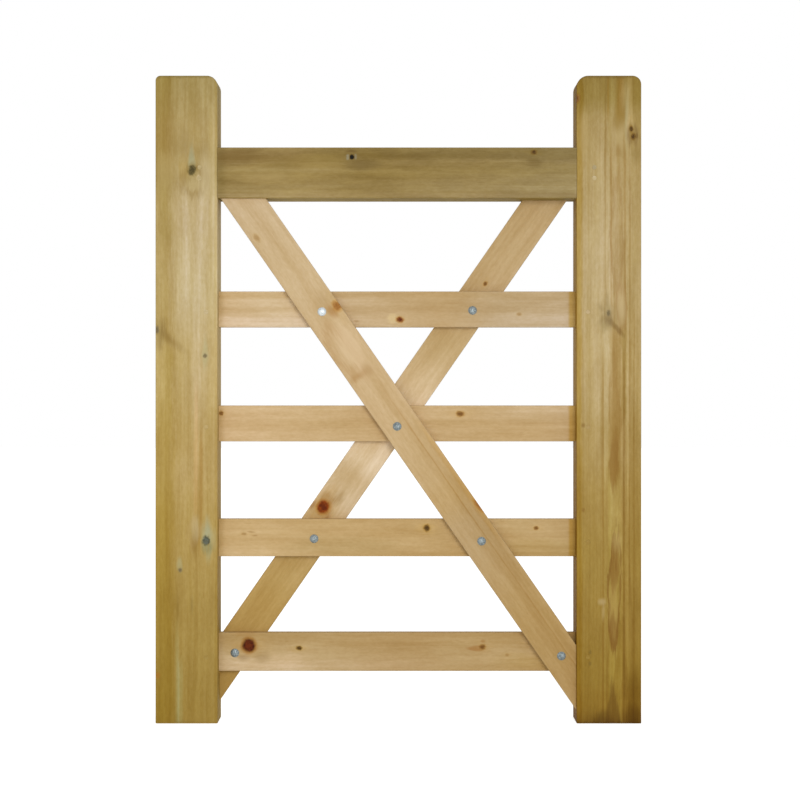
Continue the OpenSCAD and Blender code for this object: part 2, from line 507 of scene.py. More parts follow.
class GroupBench(Bench):
    """A bench for a shared group, with named inputs and outputs."""

    def __init__(
        self, name: str, places: Sequence[str], numbers: Sequence[str], masks: Sequence[str],
        shifts: Sequence[str] = (),
    ) -> None:
        """Start a group.

        Args:
            name: The group's name.
            places: The names of its vector inputs.
            numbers: The names of its number inputs, which come after these.
            masks: The names of its number outputs.
            shifts: The names of its vector outputs, which come after these.
        """
        super().__init__(bpy.data.node_groups.new(name, "ShaderNodeTree"))
        for labels, side, kind in (
            (places, "INPUT", "Vector"), (numbers, "INPUT", "Float"),
            (masks, "OUTPUT", "Float"), (shifts, "OUTPUT", "Vector"),
        ):
            for label in labels:
                self.tree.interface.new_socket(label, in_out=side, socket_type=f"NodeSocket{kind}")
        self.given = tuple(self.node("NodeGroupInput").outputs)[:len(places) + len(numbers)]
        self.outs = self.node("NodeGroupOutput").inputs

    def give(self, **results: Value) -> Tree:
        """Link the group's results to its outputs.

        Args:
            results: Each output's name and result.

        Returns:
            The group's tree.
        """
        for name, value in results.items():
            self.feed(self.outs[name], value)
        return self.tree


class GrainGroups:
    """The shader groups that the finishes share, each built once."""

    ragged_noise = Noise((14.0, 120.0, 120.0), 3.0)
    fray_noise = Noise((42.0, 460.0, 460.0), 2.0)
    fray_share = 0.9
    drift_noise = Noise((1.3, 5.0, 5.0), 2.0)
    sway_noise = Noise((11.0, 26.0, 26.0), 1.0)
    noise_middle = (0.5, 0.5, 0.5)
    knot_noise = Noise((1.2, 1.2, 0.02), 4.0, 0.65)
    core_noise = Noise((2.6, 2.6, 0.02), 2.0)
    core_spread = 2.0
    knot_scatter = (90.0, 90.0, 0.0)
    heart_edge = (0.62, 1.06)
    core_edge = (0.2, 0.95)
    fringe_edge = (0.9, 1.4)
    halo_stretch = (0.3, 0.55, 1.0)
    halo_edge = (0.2, 1.25)
    halo_gaps = (0.25, 0.6)
    bend_squeeze = (0.4, 1.0, 0.0)
    bend_room = 0.5
    wobble_noise = Noise((7.0, 70.0, 70.0), 2.0)
    across_grain = (0.0, 1.0, 1.0)
    late_start = (0.25, 0.86)
    late_stop = (0.9, 1.0)
    year_spread = 0.75
    year_least = 0.25
    figure = {
        "Broad": Noise((1.1, 34.0, 34.0), 3.0, 0.55, (0.34, 0.66)),
        "Streak": Noise((3.4, 190.0, 190.0), 3.0, 0.6, (0.3, 0.7)),
        "Fibre": Noise((26.0, 1300.0, 1300.0), 1.0),
        "Patch": Noise((13.0, 52.0, 52.0), 5.0, 0.66, (0.3, 0.7)),
        "Fleck": Noise((55.0, 620.0, 620.0), 1.0, 0.5, (0.66, 0.76)),
        "Speck": Noise((110.0, 240.0, 240.0), 2.0, 0.6, (0.3, 0.7)),
    }
    band_fray = 1.6
    spot_sway = (0.5, 1.1, 0.0)
    spot_fray = 1.1
    hollow_edge = (0.4, 1.0)
    arris_fray = 6 * MM
    arris_edge = (0.4 * MM, 3.2 * MM)
    zinc_noise = Noise((420.0, 420.0, 420.0), 3.0, 0.5, (0.3, 0.7))
    grit_noise = Noise((2600.0, 2600.0, 2600.0), 2.0)

    def __init__(self) -> None:
        """Build every group."""
        self.warp = self._warp()
        self.knot = self._knot()
        self.rings = self._rings()
        self.band = self._band()
        self.spot = self._spot()
        self.arris = self._arris()
        self.mottle = self._mottle()

    def _warp(self) -> Tree:
        """Make the unevenness that the other groups use: a ragged edge, a slow drift and a sway.

        Returns:
            The group's tree.
        """
        bench = GroupBench("timber_warp", ("Grain", "Seed"), (), ("Ragged",), ("Drift", "Sway"))
        moved = bench.vector("ADD", *bench.given)
        fine = bench.cloud(moved, self.ragged_noise)
        both = bench.math("MULTIPLY_ADD", bench.cloud(moved, self.fray_noise), self.fray_share, fine)
        slow = bench.noise(moved, self.drift_noise).outputs["Color"]
        sway = bench.noise(moved, self.sway_noise).outputs["Color"]
        return bench.give(
            Ragged=bench.math("SUBTRACT", both, (1.0 + self.fray_share) / 2),
            Drift=bench.vector("SUBTRACT", slow, self.noise_middle),
            Sway=bench.vector("SUBTRACT", sway, self.noise_middle),
        )

    def _knot(self) -> Tree:
        """Make a knot: its heart, core, fringe and halo, and how far it pushes the grain aside.

        Returns:
            The group's tree.
        """
        bench = GroupBench(
            "knot", ("Grain", "Place", "Half"), ("Ragged", "Rough"),
            ("Heart", "Core", "Fringe", "Halo", "Bend"),
        )
        grain, place, half, ragged, uneven = bench.given
        step = bench.vector("SUBTRACT", grain, place)
        scaled = bench.vector("DIVIDE", step, half)
        plain = bench.length(scaled)
        placed = bench.vector("ADD", scaled, bench.vector("MULTIPLY", place, self.knot_scatter))
        rough = bench.cloud(placed, self.knot_noise)
        fray = bench.math("MULTIPLY", bench.math("SUBTRACT", rough, self.noise_middle[0]), uneven)
        out = bench.math("ADD", plain, fray)
        mottle = bench.cloud(placed, self.core_noise)
        spread = bench.math("MULTIPLY_ADD", mottle, self.core_spread, -self.core_spread / 2)
        deep = bench.math("ADD", plain, spread)
        away = bench.math("ADD", bench.length(bench.vector("MULTIPLY", scaled, self.halo_stretch)), ragged)
        halo = bench.math("MULTIPLY", bench.fall(away, *self.halo_edge), bench.smooth(rough, *self.halo_gaps))
        half_width = bench.parts(half)[1]
        squeezed = bench.vector("MULTIPLY", step, self.bend_squeeze)
        girth = bench.math("MULTIPLY", half_width, half_width)
        room = bench.math("MULTIPLY_ADD", girth, self.bend_room, bench.dot(squeezed, squeezed))
        bend = bench.math("DIVIDE", bench.math("MULTIPLY", bench.parts(step)[1], girth), room)
        return bench.give(
            Heart=bench.fall(out, *self.heart_edge), Core=bench.fall(deep, *self.core_edge),
            Fringe=bench.fall(out, *self.fringe_edge), Halo=halo, Bend=bend,
        )

    def _rings(self) -> Tree:
        """Make the growth rings about the pith, and the streaks and fibres along the grain.

        Returns:
            The group's tree.
        """
        bench = GroupBench(
            "growth_rings", ("Grain", "Drift", "Pith", "Seed"), ("Ring width", "Taper", "Wander"),
            ("Late", "Radius", *self.figure),
        )
        grain, drift, pith, seed, ring_width, taper, wander = bench.given
        seeded = bench.vector("ADD", grain, seed)
        swing = bench.node("ShaderNodeVectorMath", {"operation": "SCALE"}, Vector=drift, Scale=wander)
        lean = bench.math("MULTIPLY", bench.parts(grain)[0], taper)
        leant = bench.node("ShaderNodeCombineXYZ", None, Z=lean).outputs[0]
        swung = bench.vector("ADD", bench.vector("ADD", grain, swing.outputs[0]), leant)
        spoke = bench.vector("MULTIPLY", bench.vector("SUBTRACT", swung, pith), self.across_grain)
        radius = bench.length(spoke)
        wobble = bench.cloud(seeded, self.wobble_noise)
        count = bench.math("ADD", bench.math("DIVIDE", radius, ring_width), wobble)
        share = bench.math("FRACT", count)
        rise, stop = bench.smooth(share, *self.late_start), bench.fall(share, *self.late_stop)
        line = bench.math("MULTIPLY", rise, stop)
        year = bench.node("ShaderNodeTexWhiteNoise", {"noise_dimensions": "1D"}, W=bench.math("FLOOR", count))
        weight = bench.math("MULTIPLY_ADD", year.outputs["Value"], self.year_spread, self.year_least)
        figure = {name: bench.cloud(seeded, kind) for name, kind in self.figure.items()}
        return bench.give(Late=bench.math("MULTIPLY", line, weight), Radius=radius, **figure)

    def _band(self) -> Tree:
        """Make a stripe along the grain with soft, ragged edges.

        Returns:
            The group's tree.
        """
        bench = GroupBench(
            "grain_band", ("Grain", "Drift"),
            ("Ragged", "Middle", "Half", "Soft", "Start", "End", "Fade"), ("Mask",),
        )
        grain, drift, ragged, middle, half, soft, start, end, fade = bench.given
        along, across, _ = bench.parts(grain)
        sway = bench.math("MULTIPLY", bench.parts(drift)[1], half)
        away = bench.math("ADD", bench.math("SUBTRACT", across, middle), sway)
        past = bench.math("SUBTRACT", bench.math("ABSOLUTE", away), half)
        fray = bench.math("MULTIPLY", bench.math("MULTIPLY", ragged, soft), self.band_fray)
        edge = bench.math("ADD", past, fray)
        inside = bench.fall(edge, bench.math("MULTIPLY", soft, -1.0), soft)
        begun = bench.smooth(along, bench.math("SUBTRACT", start, fade), start)
        ending = bench.fall(along, end, bench.math("ADD", end, fade))
        return bench.give(Mask=bench.math("MULTIPLY", inside, bench.math("MULTIPLY", begun, ending)))

    def _spot(self) -> Tree:
        """Make a rounded or pointed patch, filled or hollow, that follows the grain.

        Returns:
            The group's tree.
        """
        bench = GroupBench(
            "figure_spot", ("Grain", "Sway", "Place", "Half"), ("Ragged", "Soft", "Point", "Hollow"),
            ("Mask",),
        )
        grain, sway, place, half, ragged, soft, point, hollow = bench.given
        step = bench.vector("DIVIDE", bench.vector("SUBTRACT", grain, place), half)
        scaled = bench.vector("ADD", step, bench.vector("MULTIPLY", sway, self.spot_sway))
        along, across, _ = bench.parts(scaled)
        rounded = bench.length(scaled)
        pointed = bench.math("MULTIPLY_ADD", across, across, bench.math("ABSOLUTE", along))
        between = bench.math("MULTIPLY", bench.math("SUBTRACT", pointed, rounded), point)
        out = bench.math("ADD", rounded, between)
        out = bench.math("MULTIPLY_ADD", ragged, self.spot_fray, out)
        covered = bench.fall(out, bench.rest(soft), bench.math("ADD", 1.0, soft))
        kept = bench.rest(bench.math("MULTIPLY", bench.fall(out, *self.hollow_edge), hollow))
        return bench.give(Mask=bench.math("MULTIPLY", covered, kept))

    def _arris(self) -> Tree:
        """Make the worn line along a timber's edges, from its place in the timber.

        Returns:
            The group's tree.
        """
        bench = GroupBench("worn_arris", ("Grain", "Middle", "Half"), ("Ragged",), ("Mask",))
        grain, middle, half, ragged = bench.given
        step = bench.vector("ABSOLUTE", bench.vector("SUBTRACT", grain, middle))
        along, across, deep = bench.parts(bench.vector("SUBTRACT", half, step))
        long_edge = bench.math("MAXIMUM", across, deep)
        end_edge = bench.math("MAXIMUM", along, bench.math("MINIMUM", across, deep))
        nearest = bench.math("MINIMUM", long_edge, end_edge)
        uneven = bench.math("MULTIPLY_ADD", ragged, self.arris_fray, nearest)
        return bench.give(Mask=bench.fall(uneven, *self.arris_edge))

    def _mottle(self) -> Tree:
        """Make the fine cloudiness of a zinc coat.

        Returns:
            The group's tree.
        """
        bench = GroupBench("zinc_mottle", ("Place",), (), ("Cloud", "Grit"))
        clouds = [bench.cloud(bench.given[0], kind) for kind in (self.zinc_noise, self.grit_noise)]
        return bench.give(Cloud=clouds[0], Grit=clouds[1])


class TimberMaterial:
    """Mixes one timber's ground colours, figure, knots, wear and painted shade into a material."""

    bump_strength = 0.35
    bump_depth = 0.5 * MM
    specular = 0.08
    rough_ground = 0.68
    rough_fibre = 0.22
    rough_late = -0.1
    rough_knot = -0.12
    late_rise = 0.55
    fibre_rise = 0.5
    streak_rise = 0.35
    knot_rise = -0.4
    patch_shadow = 0.7
    streak_light = 0.7
    worn_share = 0.4
    sawn_share = 0.65
    facing_edge = (0.55, 0.9)
    seed_step = (7.3, 3.1, 5.7)

    def __init__(self, name: str, groups: GrainGroups, axes: GrainFrame, finish: TimberFinish) -> None:
        """Start the material and lay out the timber's grain, knots and rings.

        Args:
            name: The material's name.
            groups: The shared shader groups.
            axes: The timber's own axes.
            finish: What sets the timber's looks apart.
        """
        self.groups = groups
        self.axes = axes
        self.finish = finish
        self.material = bpy.data.materials.new(name)
        self.bench = Bench.fresh(self.material)
        coords = self.bench.node("ShaderNodeTexCoord").outputs
        self.normal = coords["Normal"]
        seed = tuple(part * finish.seed for part in self.seed_step)
        self.grain = self.bench.node(
            "ShaderNodeMapping", {"vector_type": "TEXTURE"}, Vector=coords["Object"],
            Location=axes.start(), Rotation=axes.rotation(),
        ).outputs[0]
        self.ragged, self.drift, self.sway = self.bench.group(groups.warp, Grain=self.grain, Seed=seed)
        self.knots = [self._knot(knot) for knot in finish.knots]
        self.bent = self._bent()
        self.rings = self.bench.group(
            groups.rings, Grain=self.bent, Drift=self.drift, Seed=seed, Ring_width=finish.ring_width * MM,
            Pith=(0.0, finish.pith_across * MM, finish.pith_deep * MM), Taper=finish.taper,
            Wander=finish.wander * MM,
        )

    def make(self) -> Material:
        """Colour the timber layer by layer and give it its surface.

        Returns:
            The finished material.
        """
        colour = self._ground()
        for layer in (self._bands, self._lines, self._spots, self._knot_colours, self._wear_and_painted_shade):
            colour = layer(colour)
        self._surface(colour)
        return self.material

    def _place(self, mark: Knot | Spot) -> dict[str, Value]:
        """Return the inputs that say where a knot or a spot lies and how large it is."""
        half = (mark.length * MM, mark.width * MM, mark.deep * MM)
        return {"Place": self.axes.front(mark.x * MM, mark.z * MM), "Half": half}

    def _knot(self, knot: Knot) -> Sequence[Socket]:
        """Place one knot's group on the timber.

        Args:
            knot: The knot.

        Returns:
            The group's outputs.
        """
        rough = knot.kind.value.ragged
        return self.bench.group(
            self.groups.knot, Grain=self.grain, Ragged=self.ragged, Rough=rough, **self._place(knot)
        )

    def _bent(self) -> Socket:
        """Push the grain round the knots.

        Returns:
            The pushed place.
        """
        if not self.knots:
            return self.grain
        total = self.knots[0]["Bend"]
        for knot in self.knots[1:]:
            total = self.bench.math("ADD", total, knot["Bend"])
        shift = self.bench.node("ShaderNodeCombineXYZ", None, Y=total).outputs[0]
        return self.bench.vector("SUBTRACT", self.grain, shift)

    def _shaded(self, colour: Value, mask: Value, share: float, over: Colour) -> Socket:
        """Shade a colour where a mask lies, by a share of the shade."""
        return self.bench.tint(self.bench.math("MULTIPLY", mask, share), colour, over)

    def _streaked(
        self, colour: Value, figure: str, on: tuple[float, Colour], beside: tuple[float, Colour]
    ) -> Socket:
        """Shade a colour one way on a figure of the grain and another way beside it.

        Args:
            colour: The colour so far.
            figure: The figure's name.
            on: The share and the shade on the figure.
            beside: The share and the shade beside it.

        Returns:
            The shaded colour.
        """
        mask = self.rings[figure]
        colour = self._shaded(colour, mask, *on)
        return self._shaded(colour, self.bench.rest(mask), *beside)

    def _ground(self) -> Socket:
        """Colour the timber along its length, in broad streaks and in patches.

        Returns:
            The colour.
        """
        finish = self.finish
        share = self.bench.math("DIVIDE", self.bench.parts(self.grain)[0], self.axes.length)
        ramp = self.bench.node("ShaderNodeValToRGB", None, Fac=share)
        stops = ramp.color_ramp
        stops.interpolation = "EASE"
        while len(stops.elements) < len(finish.tones):
            stops.elements.new(1.0)
        for stop, wanted in zip(stops.elements, finish.tones):
            stop.position = wanted.at
            stop.color = wanted.colour
        pale, dark = (finish.pale_share, finish.pale), (finish.dark_share, finish.dark)
        colour = self._streaked(ramp.outputs["Color"], "Broad", pale, dark)
        patch = (finish.patch_share, finish.patch)
        return self._streaked(colour, "Patch", patch, (finish.patch_share * self.patch_shadow, finish.dark))

    def _bands(self, colour: Value) -> Value:
        """Add the timber's own stripes.

        Args:
            colour: The colour so far.

        Returns:
            The colour with the stripes.
        """
        for band in self.finish.bands:
            mask = self.bench.group(
                self.groups.band, Grain=self.bent, Ragged=self.ragged, Drift=self.drift,
                Middle=band.middle * MM, Half=band.half * MM, Soft=band.soft * MM, Start=band.start * MM,
                End=band.end * MM, Fade=band.fade * MM,
            )["Mask"]
            colour = self.bench.tint(mask, colour, band.tint)
        return colour

    def _lines(self, colour: Value) -> Value:
        """Draw the heartwood, the late wood of the rings and the finer streaks.

        Args:
            colour: The colour so far.

        Returns:
            The colour with its lines.
        """
        bench, finish = self.bench, self.finish
        late = bench.math("MULTIPLY", self.rings["Late"], finish.late_share)
        if finish.heart_radius:
            inner = (finish.heart_radius - finish.heart_soft) * MM
            outer = (finish.heart_radius + finish.heart_soft) * MM
            heart = bench.fall(self.rings["Radius"], inner, outer)
            colour = bench.tint(heart, colour, finish.heart)
            extra = bench.math("MULTIPLY", self.rings["Late"], heart)
            late = bench.math("ADD", late, bench.math("MULTIPLY", extra, finish.heart_late))
        colour = bench.tint(late, colour, finish.late)
        light = (finish.streak_share * self.streak_light, finish.pale)
        colour = self._streaked(colour, "Streak", light, (finish.streak_share, finish.dark))
        light = (finish.speck_share, finish.pale)
        colour = self._streaked(colour, "Speck", light, (finish.speck_share, finish.dark))
        return self._shaded(colour, self.rings["Fleck"], finish.fleck_share, finish.late)

    def _spots(self, colour: Value) -> Value:
        """Add the timber's own patches of figure and stain.

        Args:
            colour: The colour so far.

        Returns:
            The colour with the patches.
        """
        bench = self.bench
        for spot in self.finish.spots:
            place = self._place(spot)
            grain = self.bent
            if spot.turn:
                grain = bench.node(
                    "ShaderNodeVectorRotate", {"rotation_type": "Z_AXIS"}, Vector=grain,
                    Center=place["Place"], Angle=-math.radians(spot.turn),
                ).outputs[0]
            mask = bench.group(
                self.groups.spot, Grain=grain, Ragged=self.ragged, Sway=self.sway, Soft=spot.soft,
                Point=spot.point, Hollow=spot.hollow, **place,
            )["Mask"]
            colour = bench.mix(bench.math("MULTIPLY", mask, spot.share), colour, spot.colour)
        return colour

    def _knot_colours(self, colour: Value) -> Value:
        """Lay every knot's halo, fringe and heart over the timber.

        Args:
            colour: The colour so far.

        Returns:
            The colour with the knots.
        """
        bench = self.bench
        for knot, mask in zip(self.finish.knots, self.knots):
            looks = knot.kind.value
            colour = bench.tint(mask["Halo"], colour, looks.halo)
            colour = bench.tint(mask["Fringe"], colour, looks.fringe)
            cored = bench.mix(mask["Core"], looks.heart, looks.core)
            colour = bench.mix(bench.math("MULTIPLY", mask["Heart"], looks.heart_share), colour, cored)
        return colour

    def _wear_and_painted_shade(self, colour: Value) -> Value:
        """Pale the worn edges, paint shade on the side that faces down or inwards and darken the sawn ends.

        Args:
            colour: The colour so far.

        Returns:
            The colour with its wear.
        """
        bench, axes = self.bench, self.axes
        half = (axes.length / 2, axes.width / 2, axes.thickness / 2)
        middle = (axes.length / 2, 0.0, 0.0)
        worn = bench.group(self.groups.arris, Grain=self.grain, Ragged=self.ragged, Middle=middle, Half=half)
        colour = self._shaded(colour, worn["Mask"], self.worn_share, self.finish.worn)
        # Painted shade on the side that faces against the across direction: a rail's underside, the right
        # stile's inner face.
        painted_side_mask = bench.smooth(bench.dot(self.normal, -axes.across()), *self.facing_edge)
        colour = bench.tint(painted_side_mask, colour, self.finish.under)
        facing = bench.math("ABSOLUTE", bench.dot(self.normal, axes.along()))
        sawn = bench.smooth(facing, *self.facing_edge)
        return self._shaded(colour, sawn, self.sawn_share, self.finish.end_grain)

    def _surface(self, colour: Value) -> None:
        """Give the timber its planed surface: roughness and fine relief.

        Args:
            colour: The finished colour.
        """
        bench = self.bench
        fibre, late, streak = (self.rings[name] for name in ("Fibre", "Late", "Streak"))
        rough = bench.math("MULTIPLY_ADD", fibre, self.rough_fibre, self.rough_ground - self.rough_fibre / 2)
        rough = bench.math("MULTIPLY_ADD", late, self.rough_late, rough)
        height = bench.math("MULTIPLY", fibre, self.fibre_rise)
        height = bench.math("MULTIPLY_ADD", late, self.late_rise, height)
        height = bench.math("MULTIPLY_ADD", streak, self.streak_rise, height)
        for knot in self.knots:
            height = bench.math("MULTIPLY_ADD", knot["Heart"], self.knot_rise, height)
            rough = bench.math("MULTIPLY_ADD", knot["Heart"], self.rough_knot, rough)
        bench.surface(
            height, self.bump_strength, self.bump_depth, Base_Color=colour, Roughness=rough,
            Specular_IOR_Level=self.specular,
        )


@dataclass(frozen=True)
class ZincFinish:
    """Bright zinc plate on steel, a little cloudy."""

    bright: Colour = tone(146, 154, 155)
    cloudy: Colour = tone(106, 116, 118)
    rough_low: float = 0.5
    rough_spread: float = 0.2
    bump_strength: float = 0.15
    bump_depth: float = 0.1 * MM

    def make(self, name: str, groups: GrainGroups) -> Material:
        """Build the material.

        Args:
            name: The material's name.
            groups: The shared shader groups.

        Returns:
            The new material.
        """
        material = bpy.data.materials.new(name)
        bench = Bench.fresh(material)
        coords = bench.node("ShaderNodeTexCoord").outputs
        cloud, grit = bench.group(groups.mottle, Place=coords["Object"])
        rough = bench.math("MULTIPLY_ADD", cloud, self.rough_spread, self.rough_low)
        colour = bench.mix(cloud, self.bright, self.cloudy)
        bench.surface(
            grit, self.bump_strength, self.bump_depth, Base_Color=colour, Metallic=1.0, Roughness=rough
        )
        return material


class Workbench:
    """Hand tools for meshes: each selects the piece that it works on first."""

    smooth_angle = math.radians(40)
    weld = 0.001 * MM
    seed_face = 1.0 * MM
    round_profile = 0.5

    @staticmethod
    def clear() -> None:
        """Leave nothing selected."""
        bpy.ops.object.select_all(action="DESELECT")

    @classmethod
    def hold(cls, piece: Piece) -> None:
        """Select one piece alone.

        Args:
            piece: The piece.
        """
        cls.clear()
        piece.select_set(True)
        bpy.context.view_layer.objects.active = piece

    @classmethod
    def edit(cls, piece: Piece) -> None:
        """Take one piece into edit mode with all of it selected.

        Args:
            piece: The piece.
        """
        cls.hold(piece)
        bpy.ops.object.mode_set(mode="EDIT")
        bpy.ops.mesh.select_all(action="SELECT")

    @staticmethod
    def settle(name: str) -> Piece:
        """Name the piece just added and put its place into its mesh.

        Args:
            name: The piece's name.

        Returns:
            The piece.
        """
        piece = bpy.context.active_object
        bpy.ops.object.transform_apply(location=True, rotation=True, scale=True)
        piece.name = name
        piece.data.name = name
        return piece

    @classmethod
    def block(cls, name: str, middle: Vector, size: Vector, turn: float = 0.0) -> Piece:
        """Add a rectangular block.

        Args:
            name: The block's name.
            middle: Its centre.
            size: Its sides.
            turn: Its turn about the Y axis.

        Returns:
            The block.
        """
        cls.clear()
        bpy.ops.mesh.primitive_cube_add(size=1.0, location=middle, rotation=(0.0, turn, 0.0))
        bpy.context.active_object.scale = size
        return cls.settle(name)

    @classmethod
    def rod(cls, name: str, middle: Vector, radius: float, length: float, sides: int) -> Piece:
        """Add a rod along the Y axis.

        Args:
            name: The rod's name.
            middle: Its centre.
            radius: Its radius to its corners.
            length: Its length.
            sides: The number of its sides.

        Returns:
            The rod.
        """
        cls.clear()
        bpy.ops.mesh.primitive_cylinder_add(
            vertices=sides, radius=radius, depth=length, location=middle, rotation=(math.pi / 2, 0.0, 0.0)
        )
        return cls.settle(name)

    @classmethod
    def turned(cls, name: str, outline: Sequence[tuple[float, float]], steps: int) -> Piece:
        """Turn an outline about the Y axis, as on a lathe.

        Args:
            name: The piece's name.
            outline: Radius and distance along Y of each point.
            steps: The number of steps round.

        Returns:
            The turned piece, closed and with its faces outward.
        """
        cls.clear()
        bpy.ops.mesh.primitive_plane_add(size=cls.seed_face, location=(*outline[0], 0.0))
        piece = cls.settle(name)
        cls.edit(piece)
        bpy.ops.mesh.select_mode(type="VERT")
        bpy.ops.mesh.select_all(action="SELECT")
        bpy.ops.mesh.merge(type="CENTER")
        for here, there in zip(outline[:-1], outline[1:]):
            step = (there[0] - here[0], there[1] - here[1], 0.0)
            bpy.ops.mesh.extrude_region_move(TRANSFORM_OT_translate={"value": step})
        bpy.ops.mesh.select_all(action="SELECT")
        bpy.ops.mesh.spin(steps=steps, angle=math.tau, center=(0.0, 0.0, 0.0), axis=(0.0, 1.0, 0.0))
        bpy.ops.object.mode_set(mode="OBJECT")
        cls.close(piece)
        return piece

    @classmethod
    def close(cls, piece: Piece) -> None:
        """Merge doubled points and turn all faces outward.

        Args:
            piece: The piece to work on.
        """
        cls.edit(piece)
        bpy.ops.mesh.remove_doubles(threshold=cls.weld)
        bpy.ops.mesh.select_all(action="SELECT")
        bpy.ops.mesh.normals_make_consistent(inside=False)
        bpy.ops.object.mode_set(mode="OBJECT")

    @classmethod
    def ease(cls, piece: Piece, radius: float, steps: int, picked: EdgeTest) -> None:
        """Round the picked edges.

        Args:
            piece: The piece to work on.
            radius: The rounding's radius.
            steps: The number of steps round an edge.
            picked: Tells from an edge's two ends whether it is rounded.
        """
        cls.edit(piece)
        bpy.ops.mesh.select_mode(type="EDGE")
        bpy.ops.mesh.select_all(action="DESELECT")
        shell = bmesh.from_edit_mesh(piece.data)
        for edge in shell.edges:
            edge.select_set(picked(edge.verts[0].co, edge.verts[1].co))
        bmesh.update_edit_mesh(piece.data)
        bpy.ops.mesh.bevel(offset=radius, segments=steps, profile=cls.round_profile, affect="EDGES")
        bpy.ops.object.mode_set(mode="OBJECT")

    @classmethod
    def trim(cls, piece: Piece, point: Vector, away: Vector) -> None:
        """Saw a piece off along a plane and close the cut.

        Args:
            piece: The piece to work on.
            point: A point on the cut.
            away: The direction of the part that falls off.
        """
        cls.edit(piece)
        bpy.ops.mesh.bisect(plane_co=point, plane_no=away, use_fill=True, clear_outer=True)
        bpy.ops.object.mode_set(mode="OBJECT")

    @classmethod
    def combine(cls, piece: Piece, tools: Sequence[Piece], how: Join) -> None:
        """Cut, add to or limit a piece by other solids, which are used up.

        Args:
            piece: The piece to work on.
            tools: The other solids, which don't overlap each other.
            how: What they do to the piece.
        """
        cls.clear()
        for tool in tools:
            tool.select_set(True)
        bpy.context.view_layer.objects.active = tools[0]
        if len(tools) > 1:
            bpy.ops.object.join()
        joined = tools[0]
        cls.hold(piece)
        bpy.ops.object.modifier_add(type="BOOLEAN")
        modifier = piece.modifiers[-1]
        modifier.operation = how.value
        modifier.solver = "EXACT"
        modifier.object = joined
        bpy.ops.object.modifier_apply(modifier=modifier.name)
        bpy.data.meshes.remove(joined.data)

    @classmethod
    def copy(cls, piece: Piece, name: str, place: Vector, turn: float = 0.0) -> Piece:
        """Copy a piece, with a mesh of its own, to another place.

        Args:
            piece: The piece to copy, at the origin.
            name: The copy's name.
            place: Where the copy goes.
            turn: The copy's turn about the Y axis.

        Returns:
            The copy.
        """
        cls.hold(piece)
        bpy.ops.object.duplicate(linked=False)
        twin = bpy.context.active_object
        twin.rotation_euler = (0.0, turn, 0.0)
        twin.location = place
        return cls.settle(name)

    @classmethod
    def finish(cls, piece: Piece) -> Piece:
        """Close a piece and shade its rounded edges smoothly, with its flats kept flat.

        Args:
            piece: The piece to work on.

        Returns:
            The same piece.
        """
        cls.close(piece)
        cls.hold(piece)
        bpy.ops.object.shade_smooth_by_angle(angle=cls.smooth_angle)
        bpy.ops.object.modifier_add(type="WEIGHTED_NORMAL")
        modifier = piece.modifiers[-1]
        modifier.keep_sharp = True
        bpy.ops.object.modifier_apply(modifier=modifier.name)
        return piece

    @staticmethod
    def dress(piece: Piece, material: Material, slot: Slot, *nodes: str) -> None:
        """Give a piece its finish, let it ride on the gate and stand for its nodes.

        Args:
            piece: The finished piece.
            material: Its material.
            slot: The record's slot for its finish; not used.
            nodes: The frame's nodes that it stands for.
        """
        piece.data.materials.clear()
        piece.data.materials.append(material)
        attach(piece, BODY)
        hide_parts(*nodes)
        LOG.info("%s: %d faces", piece.name, len(piece.data.polygons))


def node_middle(node: str) -> Vector:
    """Return the middle of a node's box."""
    low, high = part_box(node)
    return (low + high) / 2


@dataclass(frozen=True)
class FrameSizes:
    """The sizes that the gate's timbers share."""

    height: float = 1200 * MM
    half_width: float = 450 * MM
    thickness: float = 70 * MM
    left_face: float = -335 * MM
    right_face: float = 330 * MM
    frame_ease: float = 3 * MM
    board: float = 18 * MM
    board_ease: float = 2 * MM
    top_rail_low: float = 973 * MM
    top_rail_high: float = 1067 * MM
    tenon: float = 60 * MM
    top_tenon: float = 75 * MM
    top_tenon_half: float = 12 * MM
    top_tenon_reach: float = 33 * MM
    clearance: float = 0.2 * MM
    dowel_hole: float = 4.1 * MM
    bolt_hole: float = 3.3 * MM
    hole_sides: int = 28
    ease_steps: int = 4


@dataclass(frozen=True)
class RailPlace:
    """A lower rail's name, the height of its middle and the height of its board."""

    name: str
    middle: float
    height: float


SIZES = FrameSizes()
LOWER_RAILS = (
    RailPlace("second", 768 * MM, 67 * MM),
    RailPlace("third", 555.051 * MM, 67 * MM),
    RailPlace("fourth", 342.025 * MM, 70 * MM),
    RailPlace("bottom", 129 * MM, 72 * MM),
)
TOP_DOWELS = ("top_upper", "top_lower")
STILE_DOWELS = (*TOP_DOWELS, *(rail.name for rail in LOWER_RAILS))
FRONT_BOLTS = ("front_brace_upper", "front_brace_lower", "front_brace_foot")
BACK_BOLTS = ("back_brace_upper", "back_brace_lower", "back_brace_foot")
MIDDLE_BOLT = "middle"
# The bolt whose head carries a painted highlight in a paler zinc.
PAINTED_GLINT_BOLT = "front_brace_upper"


def drills(kind: str, places: Sequence[str], radius: float, reach: float = SIZES.thickness) -> list[Piece]:
    """Make drills for the holes that hold some of the frame's dowels or bolts.

    Args:
        kind: What goes through the holes, dowel or bolt.
        places: The places of these.
        radius: The holes' radius.
        reach: How far the drills reach to either side of the gate's middle plane.

    Returns:
        One drill for each place.
    """
    made = []
    for place in places:
        node = f"{place}_{kind}"
        middle = node_middle(node)
        middle.y = 0.0
        made.append(Workbench.rod(f"drill_{node}", middle, radius, 2 * reach, SIZES.hole_sides))
    return made


